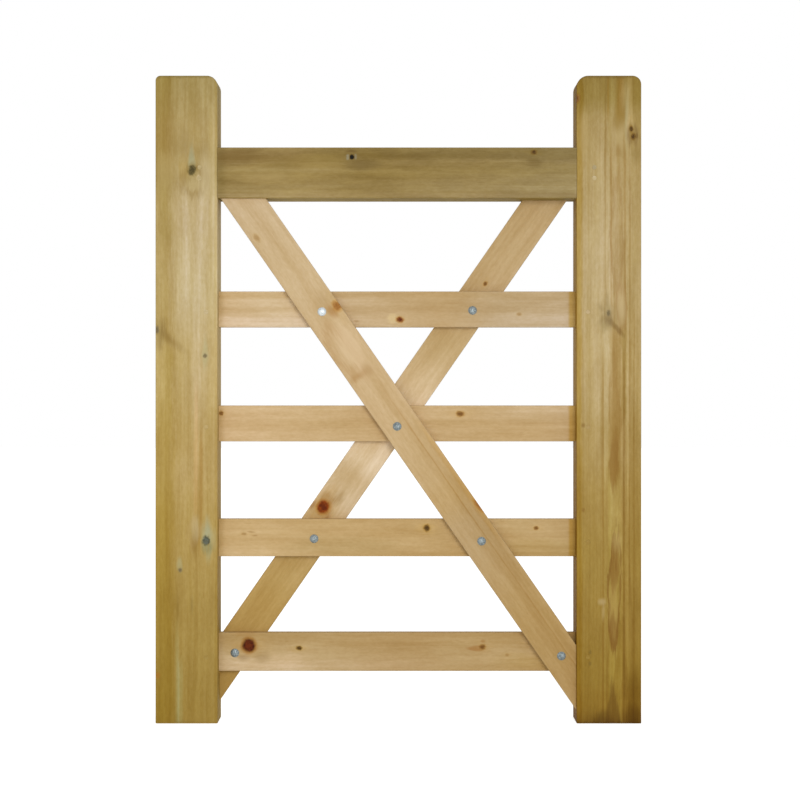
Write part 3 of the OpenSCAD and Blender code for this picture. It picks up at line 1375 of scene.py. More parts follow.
class Timber(ABC):
    """A timber of the gate: it knows its node, grain and finish, and builds and dresses its piece."""

    finish: TimberFinish
    slot: Slot

    @abstractmethod
    def node(self) -> str:
        """Return the frame's node for this timber."""

    @abstractmethod
    def axes(self) -> GrainFrame:
        """Return the timber's own axes."""

    @abstractmethod
    def build(self) -> Piece:
        """Model the timber and return the finished piece, not yet dressed."""

    def board(self, name: str, spare: float = 0.0) -> Piece:
        """Saw a plain board along the timber's grain.

        Args:
            name: The piece's name.
            spare: How far it goes on past either end.

        Returns:
            The board.
        """
        axes = self.axes()
        middle = axes.start() + axes.along() * (axes.length / 2)
        size = Vector((axes.length + 2 * spare, axes.thickness, axes.width))
        return Workbench.block(name, middle, size, axes.turn)

    @staticmethod
    def long_edge(one: Vector, other: Vector) -> bool:
        """Tell whether an edge runs the length of a board."""
        return (one - other).length > SIZES.half_width

    def dress(self, piece: Piece, groups: GrainGroups) -> None:
        """Give the piece its timber finish.

        Args:
            piece: The finished piece.
            groups: The shared shader groups.
        """
        material = TimberMaterial(f"{self.node()}_grain", groups, self.axes(), self.finish).make()
        Workbench.dress(piece, material, self.slot, self.node())


@dataclass
class Stile(Timber):
    """An upright of the frame, with rounded top corners, mortices and dowel holes."""

    side: Side
    width: float
    outer_round: float
    inner_round: float
    slot: Slot
    finish: TimberFinish
    foot_ease: float = 0.8 * MM
    foot_steps: int = 2
    round_steps: int = 10
    drill_reach: float = 60 * MM
    chisel_spare: float = 10 * MM
    touch: float = 0.1 * MM

    def name(self) -> str:
        """Return the side in lower case."""
        return self.side.name.lower()

    def node(self) -> str:
        """Return the frame's node for this stile."""
        return f"{self.name()}_stile"

    def outer_face(self) -> float:
        """Return the outer face's place along the rails."""
        return self.side.value * SIZES.half_width

    def inner_face(self) -> float:
        """Return the inner face's place along the rails."""
        return self.outer_face() - self.side.value * self.width

    def axes(self) -> GrainFrame:
        """Return the stile's grain, which runs from its top down."""
        middle = (self.outer_face() + self.inner_face()) / 2
        return GrainFrame(middle, SIZES.height, math.pi / 2, SIZES.height, self.width, SIZES.thickness)

    def build(self) -> Piece:
        """Model the stile.

        Returns:
            The finished piece, not yet dressed.
        """
        middle = Vector((self.axes().start_x, 0.0, SIZES.height / 2))
        size = Vector((self.width, SIZES.thickness, SIZES.height))
        piece = Workbench.block(f"stile_{self.name()}", middle, size)
        for face, radius in ((self.outer_face(), self.outer_round), (self.inner_face(), self.inner_round)):
            Workbench.ease(piece, radius, self.round_steps, self._corner(face))
        Workbench.ease(piece, SIZES.frame_ease, SIZES.ease_steps, self._arris)
        Workbench.ease(piece, self.foot_ease, self.foot_steps, self._foot)
        Workbench.combine(piece, self._mortices(), Join.CUT)
        dowels = [f"{self.name()}_{place}" for place in STILE_DOWELS]
        Workbench.combine(piece, drills("dowel", dowels, SIZES.dowel_hole, self.drill_reach), Join.CUT)
        return Workbench.finish(piece)

    @staticmethod
    def _corner(face: float) -> EdgeTest:
        """Make a test for the top edge at one of the stile's side faces.

        Args:
            face: The face's place along the rails.

        Returns:
            The test.
        """

        def picked(one: Vector, other: Vector) -> bool:
            """Tell whether both ends are on that corner."""
            return all(abs(p.x - face) < MM and abs(p.z - SIZES.height) < MM for p in (one, other))

        return picked

    def _arris(self, one: Vector, other: Vector) -> bool:
        """Tell whether an edge lies round the front or back face, above the foot.

        Args:
            one: One end of the edge.
            other: The other end.

        Returns:
            Whether it does.
        """
        half = SIZES.thickness / 2 - self.touch
        flat = min(abs(one.y), abs(other.y)) > half and one.y * other.y > 0
        return flat and max(one.z, other.z) > MM

    def _foot(self, one: Vector, other: Vector) -> bool:
        """Tell whether an edge lies round the sawn foot."""
        return max(one.z, other.z) < self.touch

    def _mortices(self) -> list[Piece]:
        """Make the chisels' work: a block for each mortice, standing out of the inner face.

        Returns:
            The blocks.
        """
        blocks = []
        top_middle = (SIZES.top_rail_low + SIZES.top_rail_high) / 2
        places = [("top", top_middle, SIZES.top_tenon_reach, SIZES.top_tenon_half, SIZES.top_tenon)]
        places += [(r.name, r.middle, r.height / 2, SIZES.board / 2, SIZES.tenon) for r in LOWER_RAILS]
        for name, height, reach, half, depth in places:
            deep = depth + SIZES.clearance
            x = self.inner_face() + self.side.value * (deep - self.chisel_spare) / 2
            size = (deep + self.chisel_spare, 2 * (half + SIZES.clearance), 2 * (reach + SIZES.clearance))
            blocks.append(Workbench.block(f"mortice_{name}", Vector((x, 0.0, height)), Vector(size)))
        return blocks


@dataclass
class TopRail(Timber):
    """The heavy rail, as thick as the stiles, with shouldered tenons."""

    finish: TimberFinish
    slot: Slot = Slot.TOP_RAIL

    def node(self) -> str:
        """Return the frame's node for this rail."""
        return "top_rail"

    def axes(self) -> GrainFrame:
        """Return the rail's grain, which runs from left to right.

        Returns:
            The rail's axes.
        """
        height = SIZES.top_rail_high - SIZES.top_rail_low
        length = SIZES.right_face - SIZES.left_face
        middle = SIZES.top_rail_low + height / 2
        return GrainFrame(SIZES.left_face, middle, 0.0, length, height, SIZES.thickness)

    def build(self) -> Piece:
        """Model the rail.

        Returns:
            The finished piece, not yet dressed.
        """
        axes = self.axes()
        piece = self.board("rail_top")
        Workbench.ease(piece, SIZES.frame_ease, SIZES.ease_steps, self.long_edge)
        middle = Vector((axes.start_x + axes.length / 2, 0.0, axes.start_z))
        size = (axes.length + 2 * SIZES.top_tenon, 2 * SIZES.top_tenon_half, 2 * SIZES.top_tenon_reach)
        Workbench.combine(piece, [Workbench.block("tenon", middle, Vector(size))], Join.ADD)
        dowels = [f"{side.name.lower()}_{place}" for side in Side for place in TOP_DOWELS]
        Workbench.combine(piece, drills("dowel", dowels, SIZES.dowel_hole), Join.CUT)
        return Workbench.finish(piece)


@dataclass
class LowerRail(Timber):
    """One of the four thinner boards between the stiles."""

    place: RailPlace
    bolts: Sequence[str]
    finish: TimberFinish
    slot: Slot = Slot.RAIL

    def node(self) -> str:
        """Return the frame's node for this rail."""
        return f"{self.place.name}_rail"

    def axes(self) -> GrainFrame:
        """Return the rail's grain, which runs from left to right.

        Returns:
            The rail's axes.
        """
        start = SIZES.left_face - SIZES.tenon
        length = SIZES.right_face + SIZES.tenon - start
        return GrainFrame(start, self.place.middle, 0.0, length, self.place.height, SIZES.board)

    def build(self) -> Piece:
        """Model the rail.

        Returns:
            The finished piece, not yet dressed.
        """
        piece = self.board(f"rail_{self.place.name}")
        Workbench.ease(piece, SIZES.board_ease, SIZES.ease_steps, self.long_edge)
        dowels = [f"{side.name.lower()}_{self.place.name}" for side in Side]
        holes = drills("dowel", dowels, SIZES.dowel_hole) + drills("bolt", self.bolts, SIZES.bolt_hole)
        Workbench.combine(piece, holes, Join.CUT)
        return Workbench.finish(piece)


@dataclass
class Brace(Timber):
    """A slanting board, sawn level under the top rail and upright against a stile.

    The head and toe are the two ends of its lower edge on the front view, and side is the stile that
    its toe stands against.
    """

    name: str
    side: Side
    head_x: float
    toe_x: float
    toe_z: float
    depth: float
    slot: Slot
    bolts: Sequence[str]
    finish: TimberFinish
    width: float = 69 * MM
    spare: float = 120 * MM

    def node(self) -> str:
        """Return the frame's node for this brace."""
        return f"{self.name}_brace"

    def axes(self) -> GrainFrame:
        """Return the brace's grain, which runs from its head down to its toe.

        Returns:
            The brace's axes.
        """
        drop = SIZES.top_rail_low - self.toe_z
        run = self.toe_x - self.head_x
        turn = math.atan2(drop, run)
        across = Vector((math.sin(turn), math.cos(turn)))
        middle = Vector((self.head_x, SIZES.top_rail_low)) + across * (self.side.value * self.width / 2)
        length = math.hypot(run, drop)
        return GrainFrame(middle.x, middle.y, turn, length, self.width, SIZES.board, self.depth)

    def build(self) -> Piece:
        """Model the brace.

        Returns:
            The finished piece, not yet dressed.
        """
        piece = self.board(f"brace_{self.name}", self.spare)
        Workbench.ease(piece, SIZES.board_ease, SIZES.ease_steps, self.long_edge)
        Workbench.trim(piece, Vector((0.0, 0.0, SIZES.top_rail_low)), Vector((0.0, 0.0, 1.0)))
        Workbench.trim(piece, Vector((self.toe_x, 0.0, 0.0)), Vector((float(self.side.value), 0.0, 0.0)))
        Workbench.combine(piece, drills("bolt", self.bolts, SIZES.bolt_hole), Join.CUT)
        return Workbench.finish(piece)


@dataclass
class CoachBolts:
    """The domed bolts that hold the braces, with their washers and nuts."""

    thread: float = 3 * MM
    head_radius: float = 8 * MM
    head_height: float = 3.6 * MM
    head_rim: float = 0.7 * MM
    head_ease: float = 0.15 * MM
    neck_side: float = 6 * MM
    neck_length: float = 4 * MM
    washer_radius: float = 9 * MM
    washer_bore: float = 3.2 * MM
    washer_height: float = 1.6 * MM
    washer_ease: float = 0.3 * MM
    nut_width: float = 10 * MM
    nut_height: float = 5 * MM
    nut_bore: float = 3.1 * MM
    nut_sides: int = 6
    nut_face_inset: float = 0.15 * MM
    nut_corner_room: float = 0.3 * MM
    nut_slope: float = math.radians(30)
    bore_flare: float = 0.5 * MM
    bore_past: float = 1.0 * MM
    end_show: float = 1.2 * MM
    end_chamfer: float = 0.7 * MM
    pitch: float = 1.0 * MM
    thread_depth: float = 0.45 * MM
    threaded: float = 14 * MM
    dome_steps: int = 9
    round_steps: int = 40
    nut_turn: float = math.radians(37)

    def _bolt(self, name: str, grip: float) -> Piece:
        """Model a bolt whose head sits on the origin and whose shank runs towards +Y.

        Args:
            name: The bolt's name.
            grip: The thickness of timber that it holds.

        Returns:
            The bolt.
        """
        crown = self.head_height - self.head_rim
        sphere = (self.head_radius ** 2 + crown ** 2) / (2 * crown)
        spread = math.asin(self.head_radius / sphere)
        outline = []
        for step in range(self.dome_steps + 1):
            angle = spread * step / self.dome_steps
            outline.append((sphere * math.sin(angle), sphere * (1 - math.cos(angle)) - self.head_height))
        outline += [(self.head_radius, -self.head_ease), (self.head_radius - self.head_ease, 0.0)]
        outline.append((self.thread, 0.0))
        end = grip + self.washer_height + self.nut_height + self.end_show
        ridge = end - self.end_chamfer - self.threaded
        root = self.thread - self.thread_depth
        while ridge + self.pitch < end - self.end_chamfer:
            outline += [(self.thread, ridge), (root, ridge + self.pitch / 2)]
            ridge += self.pitch
        outline += [(self.thread, end - self.end_chamfer), (self.thread - self.end_chamfer, end), (0.0, end)]
        bolt = Workbench.turned(name, outline, self.round_steps)
        neck = Workbench.block(
            f"{name}_neck", Vector((0.0, self.neck_length / 2 - self.head_rim / 2, 0.0)),
            Vector((self.neck_side, self.neck_length + self.head_rim, self.neck_side)),
        )
        Workbench.combine(bolt, [neck], Join.ADD)
        return Workbench.finish(bolt)

    def _washer(self) -> Piece:
        """Model a washer from the origin towards +Y, its outer edges rolled by the stamping.

        Returns:
            The washer.
        """
        low, high = self.washer_ease, self.washer_height - self.washer_ease
        rim, bore, top = self.washer_radius, self.washer_bore, self.washer_height
        outline = [
            (bore, 0.0), (rim - low, 0.0), (rim, low), (rim, high), (rim - low, top), (bore + low, top),
            (bore, high), (bore, 0.0),
        ]
        return Workbench.finish(Workbench.turned("washer_pattern", outline, self.round_steps))

    def _nut(self) -> Piece:
        """Model a hexagon nut from the origin towards +Y, with turned corners and a bore.

        Returns:
            The nut.
        """
        top = self.nut_height
        corner = self.nut_width / math.sqrt(3)
        nut = Workbench.rod("nut_pattern", Vector((0.0, top / 2, 0.0)), corner, top, self.nut_sides)
        flat = self.nut_width / 2 - self.nut_face_inset
        wide = corner + self.nut_corner_room
        slope = (wide - flat) * math.tan(self.nut_slope)
        turned = [(0.0, 0.0), (flat, 0.0), (wide, slope), (wide, top - slope), (flat, top), (0.0, top)]
        Workbench.combine(nut, [Workbench.turned("nut_turning", turned, self.round_steps)], Join.KEEP_COMMON)
        flare, past = self.bore_flare, self.bore_past
        mouth = self.nut_bore + flare + past
        bore = [
            (0.0, -past), (mouth, -past), (self.nut_bore, flare), (self.nut_bore, top - flare),
            (mouth, top + past), (0.0, top + past),
        ]
        Workbench.combine(nut, [Workbench.turned("nut_tap", bore, self.round_steps)], Join.CUT)
        return Workbench.finish(nut)

    def build(self, material: Material, bright: Material) -> None:
        """Model each pattern once, copy it to every bolt's place and dress the copies.

        Args:
            material: The zinc finish.
            bright: The paler zinc of one bolt head, a painted highlight.
        """
        washer = self._washer()
        nut = self._nut()
        bolts: dict[int, Piece] = {}
        for number, name in enumerate((*FRONT_BOLTS, *BACK_BOLTS, MIDDLE_BOLT)):
            middle = node_middle(f"{name}_bolt")
            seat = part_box(f"{name}_bolt")[0].y + self.head_height
            washer_at, nut_at = (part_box(f"{name}_{kind}")[0].y for kind in ("washer", "nut"))
            grip = round((washer_at - seat) / MM)
            if grip not in bolts:
                bolts[grip] = self._bolt(f"bolt_pattern_{grip}", grip * MM)
            # One bolt head gets the paler zinc as a painted highlight.
            head = bright if name == PAINTED_GLINT_BOLT else material
            for kind, pattern, depth, zinc in (
                ("bolt", bolts[grip], seat, head), ("washer", washer, washer_at, material),
                ("nut", nut, nut_at, material),
            ):
                place = Vector((middle.x, depth, middle.z))
                made = Workbench.copy(pattern, f"{kind}_{name}", place, self.nut_turn * number)
                Workbench.dress(made, zinc, Slot.ZINC, f"{name}_{kind}")
        for pattern in (washer, nut, *bolts.values()):
            bpy.data.meshes.remove(pattern.data)


class DowelEnd(Enum):
    """How a dowel's end is shaded against the stile round it."""

    PLAIN = shade(1.0, 1.02, 1.04)
    WARM = shade(0.88, 0.84, 0.76)
    BRIGHT = shade(1.1, 1.16, 1.32)
    DULL = shade(0.82, 0.86, 0.92)


@dataclass
class Dowels:
    """The pins through the stiles and tenons, cut off flush."""

    radius: float = 4 * MM
    chamfer: float = 0.2 * MM
    chamfer_steps: int = 2
    turn_step: float = 1.1
    sides: int = 32
    knot_end: Colour = tone(96, 98, 80)
    through_knot: str = "left_fourth"
    odd_ends: dict[str, DowelEnd] = field(default_factory=lambda: {
        "left_top_lower": DowelEnd.BRIGHT,
        "right_top_upper": DowelEnd.DULL,
        "right_top_lower": DowelEnd.BRIGHT,
    })

    def _ground(self, stile: Stile, place: str) -> Colour:
        """Choose a dowel's colour: that of the stile round it, shaded as end grain.

        Args:
            stile: The stile that the dowel goes through.
            place: The dowel's place.

        Returns:
            The colour.
        """
        if place == self.through_knot:
            return self.knot_end
        usual = DowelEnd.PLAIN if stile.side is Side.LEFT else DowelEnd.WARM
        end = self.odd_ends.get(place, usual).value
        share = 1.0 - node_middle(f"{place}_dowel").z / SIZES.height
        return tuple(part * over for part, over in zip(stile.finish.tone_at(share), end))

    @staticmethod
    def finish(ground: Colour) -> TimberFinish:
        """Return the finish of a dowel of one colour."""
        tones = (Tone(0.0, ground), Tone(1.0, ground))
        return TimberFinish(tones, seed=1.7, ring_width=1.6, pith_across=6.0, pith_deep=3.0, wander=0.6)

    def build(self, groups: GrainGroups, stiles: Sequence[Stile]) -> None:
        """Model a dowel, copy it to every place and dress the copies.

        Args:
            groups: The shared shader groups.
            stiles: The stiles that the dowels go through, left and right.
        """
        length = SIZES.thickness
        pattern = Workbench.rod("dowel_pattern", Vector((0.0, 0.0, 0.0)), self.radius, length, self.sides)
        Workbench.ease(pattern, self.chamfer, self.chamfer_steps, self._end_edge)
        Workbench.finish(pattern)
        axes = GrainFrame(0.0, 0.0, 0.0, length, 2 * self.radius, 2 * self.radius)
        places = [(stile, f"{stile.name()}_{end}") for stile in stiles for end in STILE_DOWELS]
        for number, (stile, place) in enumerate(places):
            name, node = f"dowel_{place}", f"{place}_dowel"
            made = Workbench.copy(pattern, name, node_middle(node), number * self.turn_step)
            finish = self.finish(self._ground(stile, place))
            material = TimberMaterial(f"{name}_grain", groups, axes, finish).make()
            Workbench.dress(made, material, Slot.DOWEL, node)
        bpy.data.meshes.remove(pattern.data)

    @staticmethod
    def _end_edge(one: Vector, other: Vector) -> bool:
        """Tell whether an edge lies round one of the dowel's ends."""
        return abs(one.y - other.y) < MM


@dataclass
class Studio:
    """A white floor, soft light from the front right and the camera of the photograph."""

    camera_place: Triple = (0.0, -3.38, 0.6232)
    lens: float = 81.3
    sensor: float = 36.0
    shift_x: float = 0.002
    shift_y: float = -0.0163
    floor_size: float = 30.0
    floor_drop: float = 0.1 * MM
    floor_colour: Colour = tone(238, 238, 236)
    floor_white: float = 0.72
    ambient: float = 0.52
    ambient_colour: Colour = (1.0, 1.0, 1.0, 1.0)
    key_place: Triple = (0.85, -4.05, 1.3)
    key_size: float = 1.4
    key_power: float = 61.5
    fill_place: Triple = (-0.7, -2.3, 1.0)
    fill_size: float = 1.6
    fill_power: float = 8.6
    aim: Triple = (0.0, 0.0, 0.62)

    def build(self) -> None:
        """Set up the whole studio."""
        bpy.context.scene.view_settings.view_transform = "Standard"
        self._floor()
        self._world()
        self._lamp("key", self.key_place, self.key_size, self.key_power)
        self._lamp("fill", self.fill_place, self.fill_size, self.fill_power)
        self._camera()

    @staticmethod
    def _seen(bench: Bench) -> Socket:
        """Find where the background is seen, straight or in metal or glass.

        Args:
            bench: The bench of the background's material or world.

        Returns:
            1 where it is seen.
        """
        path = bench.node("ShaderNodeLightPath").outputs
        mirrored = bench.math("MAXIMUM", path["Is Glossy Ray"], path["Is Transmission Ray"])
        return bench.math("MAXIMUM", path["Is Camera Ray"], mirrored)

    def _floor(self) -> None:
        """Lay a pale floor that shows as white and keeps the gate's shadow."""
        Workbench.clear()
        bpy.ops.mesh.primitive_plane_add(size=self.floor_size, location=(0.0, 0.0, -self.floor_drop))
        floor = Workbench.settle("studio_floor")
        material = bpy.data.materials.new("pale_floor")
        bench = Bench.fresh(material)
        matt = bench.node("ShaderNodeBsdfDiffuse", None, Color=self.floor_colour)
        glow = bench.math("MULTIPLY", self._seen(bench), self.floor_white)
        white = bench.node("ShaderNodeEmission", None, Strength=glow)
        both = bench.node("ShaderNodeAddShader")
        for socket, part in zip(both.inputs, (matt, white)):
            bench.feed(socket, part.outputs[0])
        bench.node("ShaderNodeOutputMaterial", None, Surface=both.outputs[0])
        floor.data.materials.append(material)

    def _world(self) -> None:
        """Surround the gate with soft light that shows as white."""
        world = bpy.data.worlds.new("studio_white")
        bpy.context.scene.world = world
        bench = Bench.fresh(world)
        strength = bench.math("MULTIPLY_ADD", self._seen(bench), 1.0 - self.ambient, self.ambient)
        light = bench.node("ShaderNodeBackground", None, Color=self.ambient_colour, Strength=strength)
        bench.node("ShaderNodeOutputWorld", None, Surface=light.outputs[0])

    def _lamp(self, name: str, place: Triple, size: float, power: float) -> None:
        """Hang a square soft box that faces the gate.

        Args:
            name: The lamp's name.
            place: Where it hangs.
            size: The length of its sides.
            power: Its power in watts.
        """
        lamp = bpy.data.lights.new(name, "AREA")
        lamp.size = size
        lamp.energy = power
        holder = bpy.data.objects.new(name, lamp)
        bpy.context.scene.collection.objects.link(holder)
        holder.location = place
        holder.rotation_euler = (Vector(self.aim) - Vector(place)).to_track_quat("-Z", "Y").to_euler()

    def _camera(self) -> None:
        """Stand the camera level in front of the gate."""
        data = bpy.data.cameras.new("photo_camera")
        data.lens = self.lens
        data.sensor_width = self.sensor
        data.shift_x = self.shift_x
        data.shift_y = self.shift_y
        camera = bpy.data.objects.new("photo_camera", data)
        bpy.context.scene.collection.objects.link(camera)
        camera.location = self.camera_place
        camera.rotation_euler = (math.pi / 2, 0.0, 0.0)
        bpy.context.scene.camera = camera


# The tones along the stiles and rails are partly the wood's own colour and partly painted light falloff: the
# stiles paler in their upper middle and darker towards the top and the foot, the rails paler towards the
# left.
LEFT_STILE_FINISH = TimberFinish(
    tones=(
        Tone(0.0, tone(164, 144, 93)), Tone(0.1, tone(175, 153, 103)), Tone(0.15, tone(176, 155, 108)),
        Tone(0.21, tone(192, 172, 132)), Tone(0.32, tone(196, 177, 136)), Tone(0.45, tone(191, 168, 120)),
        Tone(0.58, tone(185, 159, 104)), Tone(0.7, tone(178, 151, 89)), Tone(0.85, tone(168, 141, 77)),
        Tone(1.0, tone(163, 136, 69)),
    ),
    seed=1.0, pith_across=90.0, pith_deep=-70.0, ring_width=5.2, late_share=0.18,
    bands=(
        Band(-44, 18, 10, shade(0.9, 0.87, 0.62)),
        Band(-42, 18, 10, shade(0.98, 0.96, 0.84), 860, 1300, 120),
        Band(-40, 17, 9, shade(0.93, 0.89, 0.88), 60, 440, 100),
        Band(-36, 14, 8, shade(0.92, 0.92, 0.82), 210, 290, 50),
        Band(14, 16, 10, shade(1.05, 1.07, 1.16), 170, 560, 150),
        Band(27, 3, 3, shade(0.86, 0.76, 0.6), 700, 840, 80),
        Band(18, 3, 3, shade(1.12, 1.06, 1.1), 620, 780, 80),
        Band(54, 3, 2, shade(0.94, 0.91, 0.78)),
        Band(50, 8, 5, shade(1.11, 1.14, 1.2), 120, 600, 100),
        Band(-48, 9, 6, shade(1.11, 1.14, 1.3), 500, 580, 50),
        Band(-8, 16, 10, shade(0.9, 0.87, 0.72), 520, 660, 90),
        Band(-12, 5, 3, shade(1.07, 1.22, 1.65), 1120, 1300, 60),
        Band(-17, 3, 2.5, shade(1.06, 1.22, 1.7), 1090, 1300, 110),
    ),
    spots=(
        Spot(-383, 1050, 20, 3, tone(160, 166, 136), 0.5, 0.8),
        Spot(-396, 1026, 26, 9, tone(178, 150, 82), 0.5, 0.7),
        Spot(-381, 1006, 30, 26, tone(140, 112, 56), 0.5, 0.25, 0.0, 0.95),
        Spot(-380, 1010, 18, 17, tone(148, 122, 66), 0.4, 0.3, 0.0, 0.9),
        Spot(-380, 996, 9, 14, tone(196, 176, 128), 0.4, 0.7),
        Spot(-374, 1011, 5, 3.5, tone(210, 188, 146), 0.7),
        Spot(-355, 362, 18, 4, tone(166, 174, 146), 0.5, 0.9),
        Spot(-352, 342, 16, 8, tone(172, 174, 136), 0.35, 0.9),
        Spot(-353, 318, 16, 3, tone(166, 172, 136), 0.35, 0.9),
        Spot(-380, 352, 26, 11, tone(186, 158, 108), 0.5, 0.4, 0.0, 0.9),
        Spot(-376, 334, 24, 8, tone(138, 104, 40), 0.55, 0.7),
        Spot(-404, 296, 12, 3.5, tone(178, 174, 130), 0.5, 0.7),
        Spot(-358, 684, 26, 3, tone(182, 176, 132), 0.45, 0.8),
        Spot(-432, 718, 17, 8, tone(136, 108, 54), 0.55, 0.8, turn=42, deep=12),
        Spot(-416, 706, 19, 6, tone(142, 114, 58), 0.45, 0.9, turn=52, deep=12),
        Spot(-442, 712, 20, 5, tone(132, 106, 54), 0.5, 0.8, deep=10),
        Spot(-382, 219, 14, 2.5, tone(140, 118, 62), 0.45, 0.8),
        Spot(-399, 1072, 24, 16, tone(150, 126, 72), 0.4, 0.8),
        Spot(-366, 1058, 18, 10, tone(150, 126, 72), 0.4, 0.8),
        Spot(-360, 1014, 34, 12, tone(202, 184, 142), 0.45, 0.8),
        Spot(-440, 737, 14, 8, tone(136, 110, 58), 0.5, 0.8, deep=10),
        Spot(-430, 1018, 34, 14, tone(190, 168, 112), 0.4, 0.8),
        Spot(-374, 360, 20, 8, tone(200, 182, 138), 0.4, 0.7),
        Spot(-355, 326, 10, 6, tone(124, 120, 76), 0.45, 0.8),
        Spot(-408, 210, 22, 2, tone(134, 106, 42), 0.45, 0.8),
        Spot(-445, 89, 6, 4, tone(172, 110, 40), 0.5, deep=8),
        Spot(-392, 1200, 5, 80, tone(126, 108, 54), 0.55, 0.4),
        Spot(-392, 0, 4, 80, tone(130, 106, 52), 0.4, 0.4),
    ),
    knots=(
        Knot(-382, 1025, 11, 8, KnotKind.MOSS),
        Knot(-447, 729, 8, 5, KnotKind.GREY, 9),
        Knot(-358, 681, 5, 4.5, KnotKind.GREY),
        Knot(-356, 339, 9, 8, KnotKind.SLATE),
        Knot(-404, 284, 5, 4, KnotKind.GREY),
    ),
)

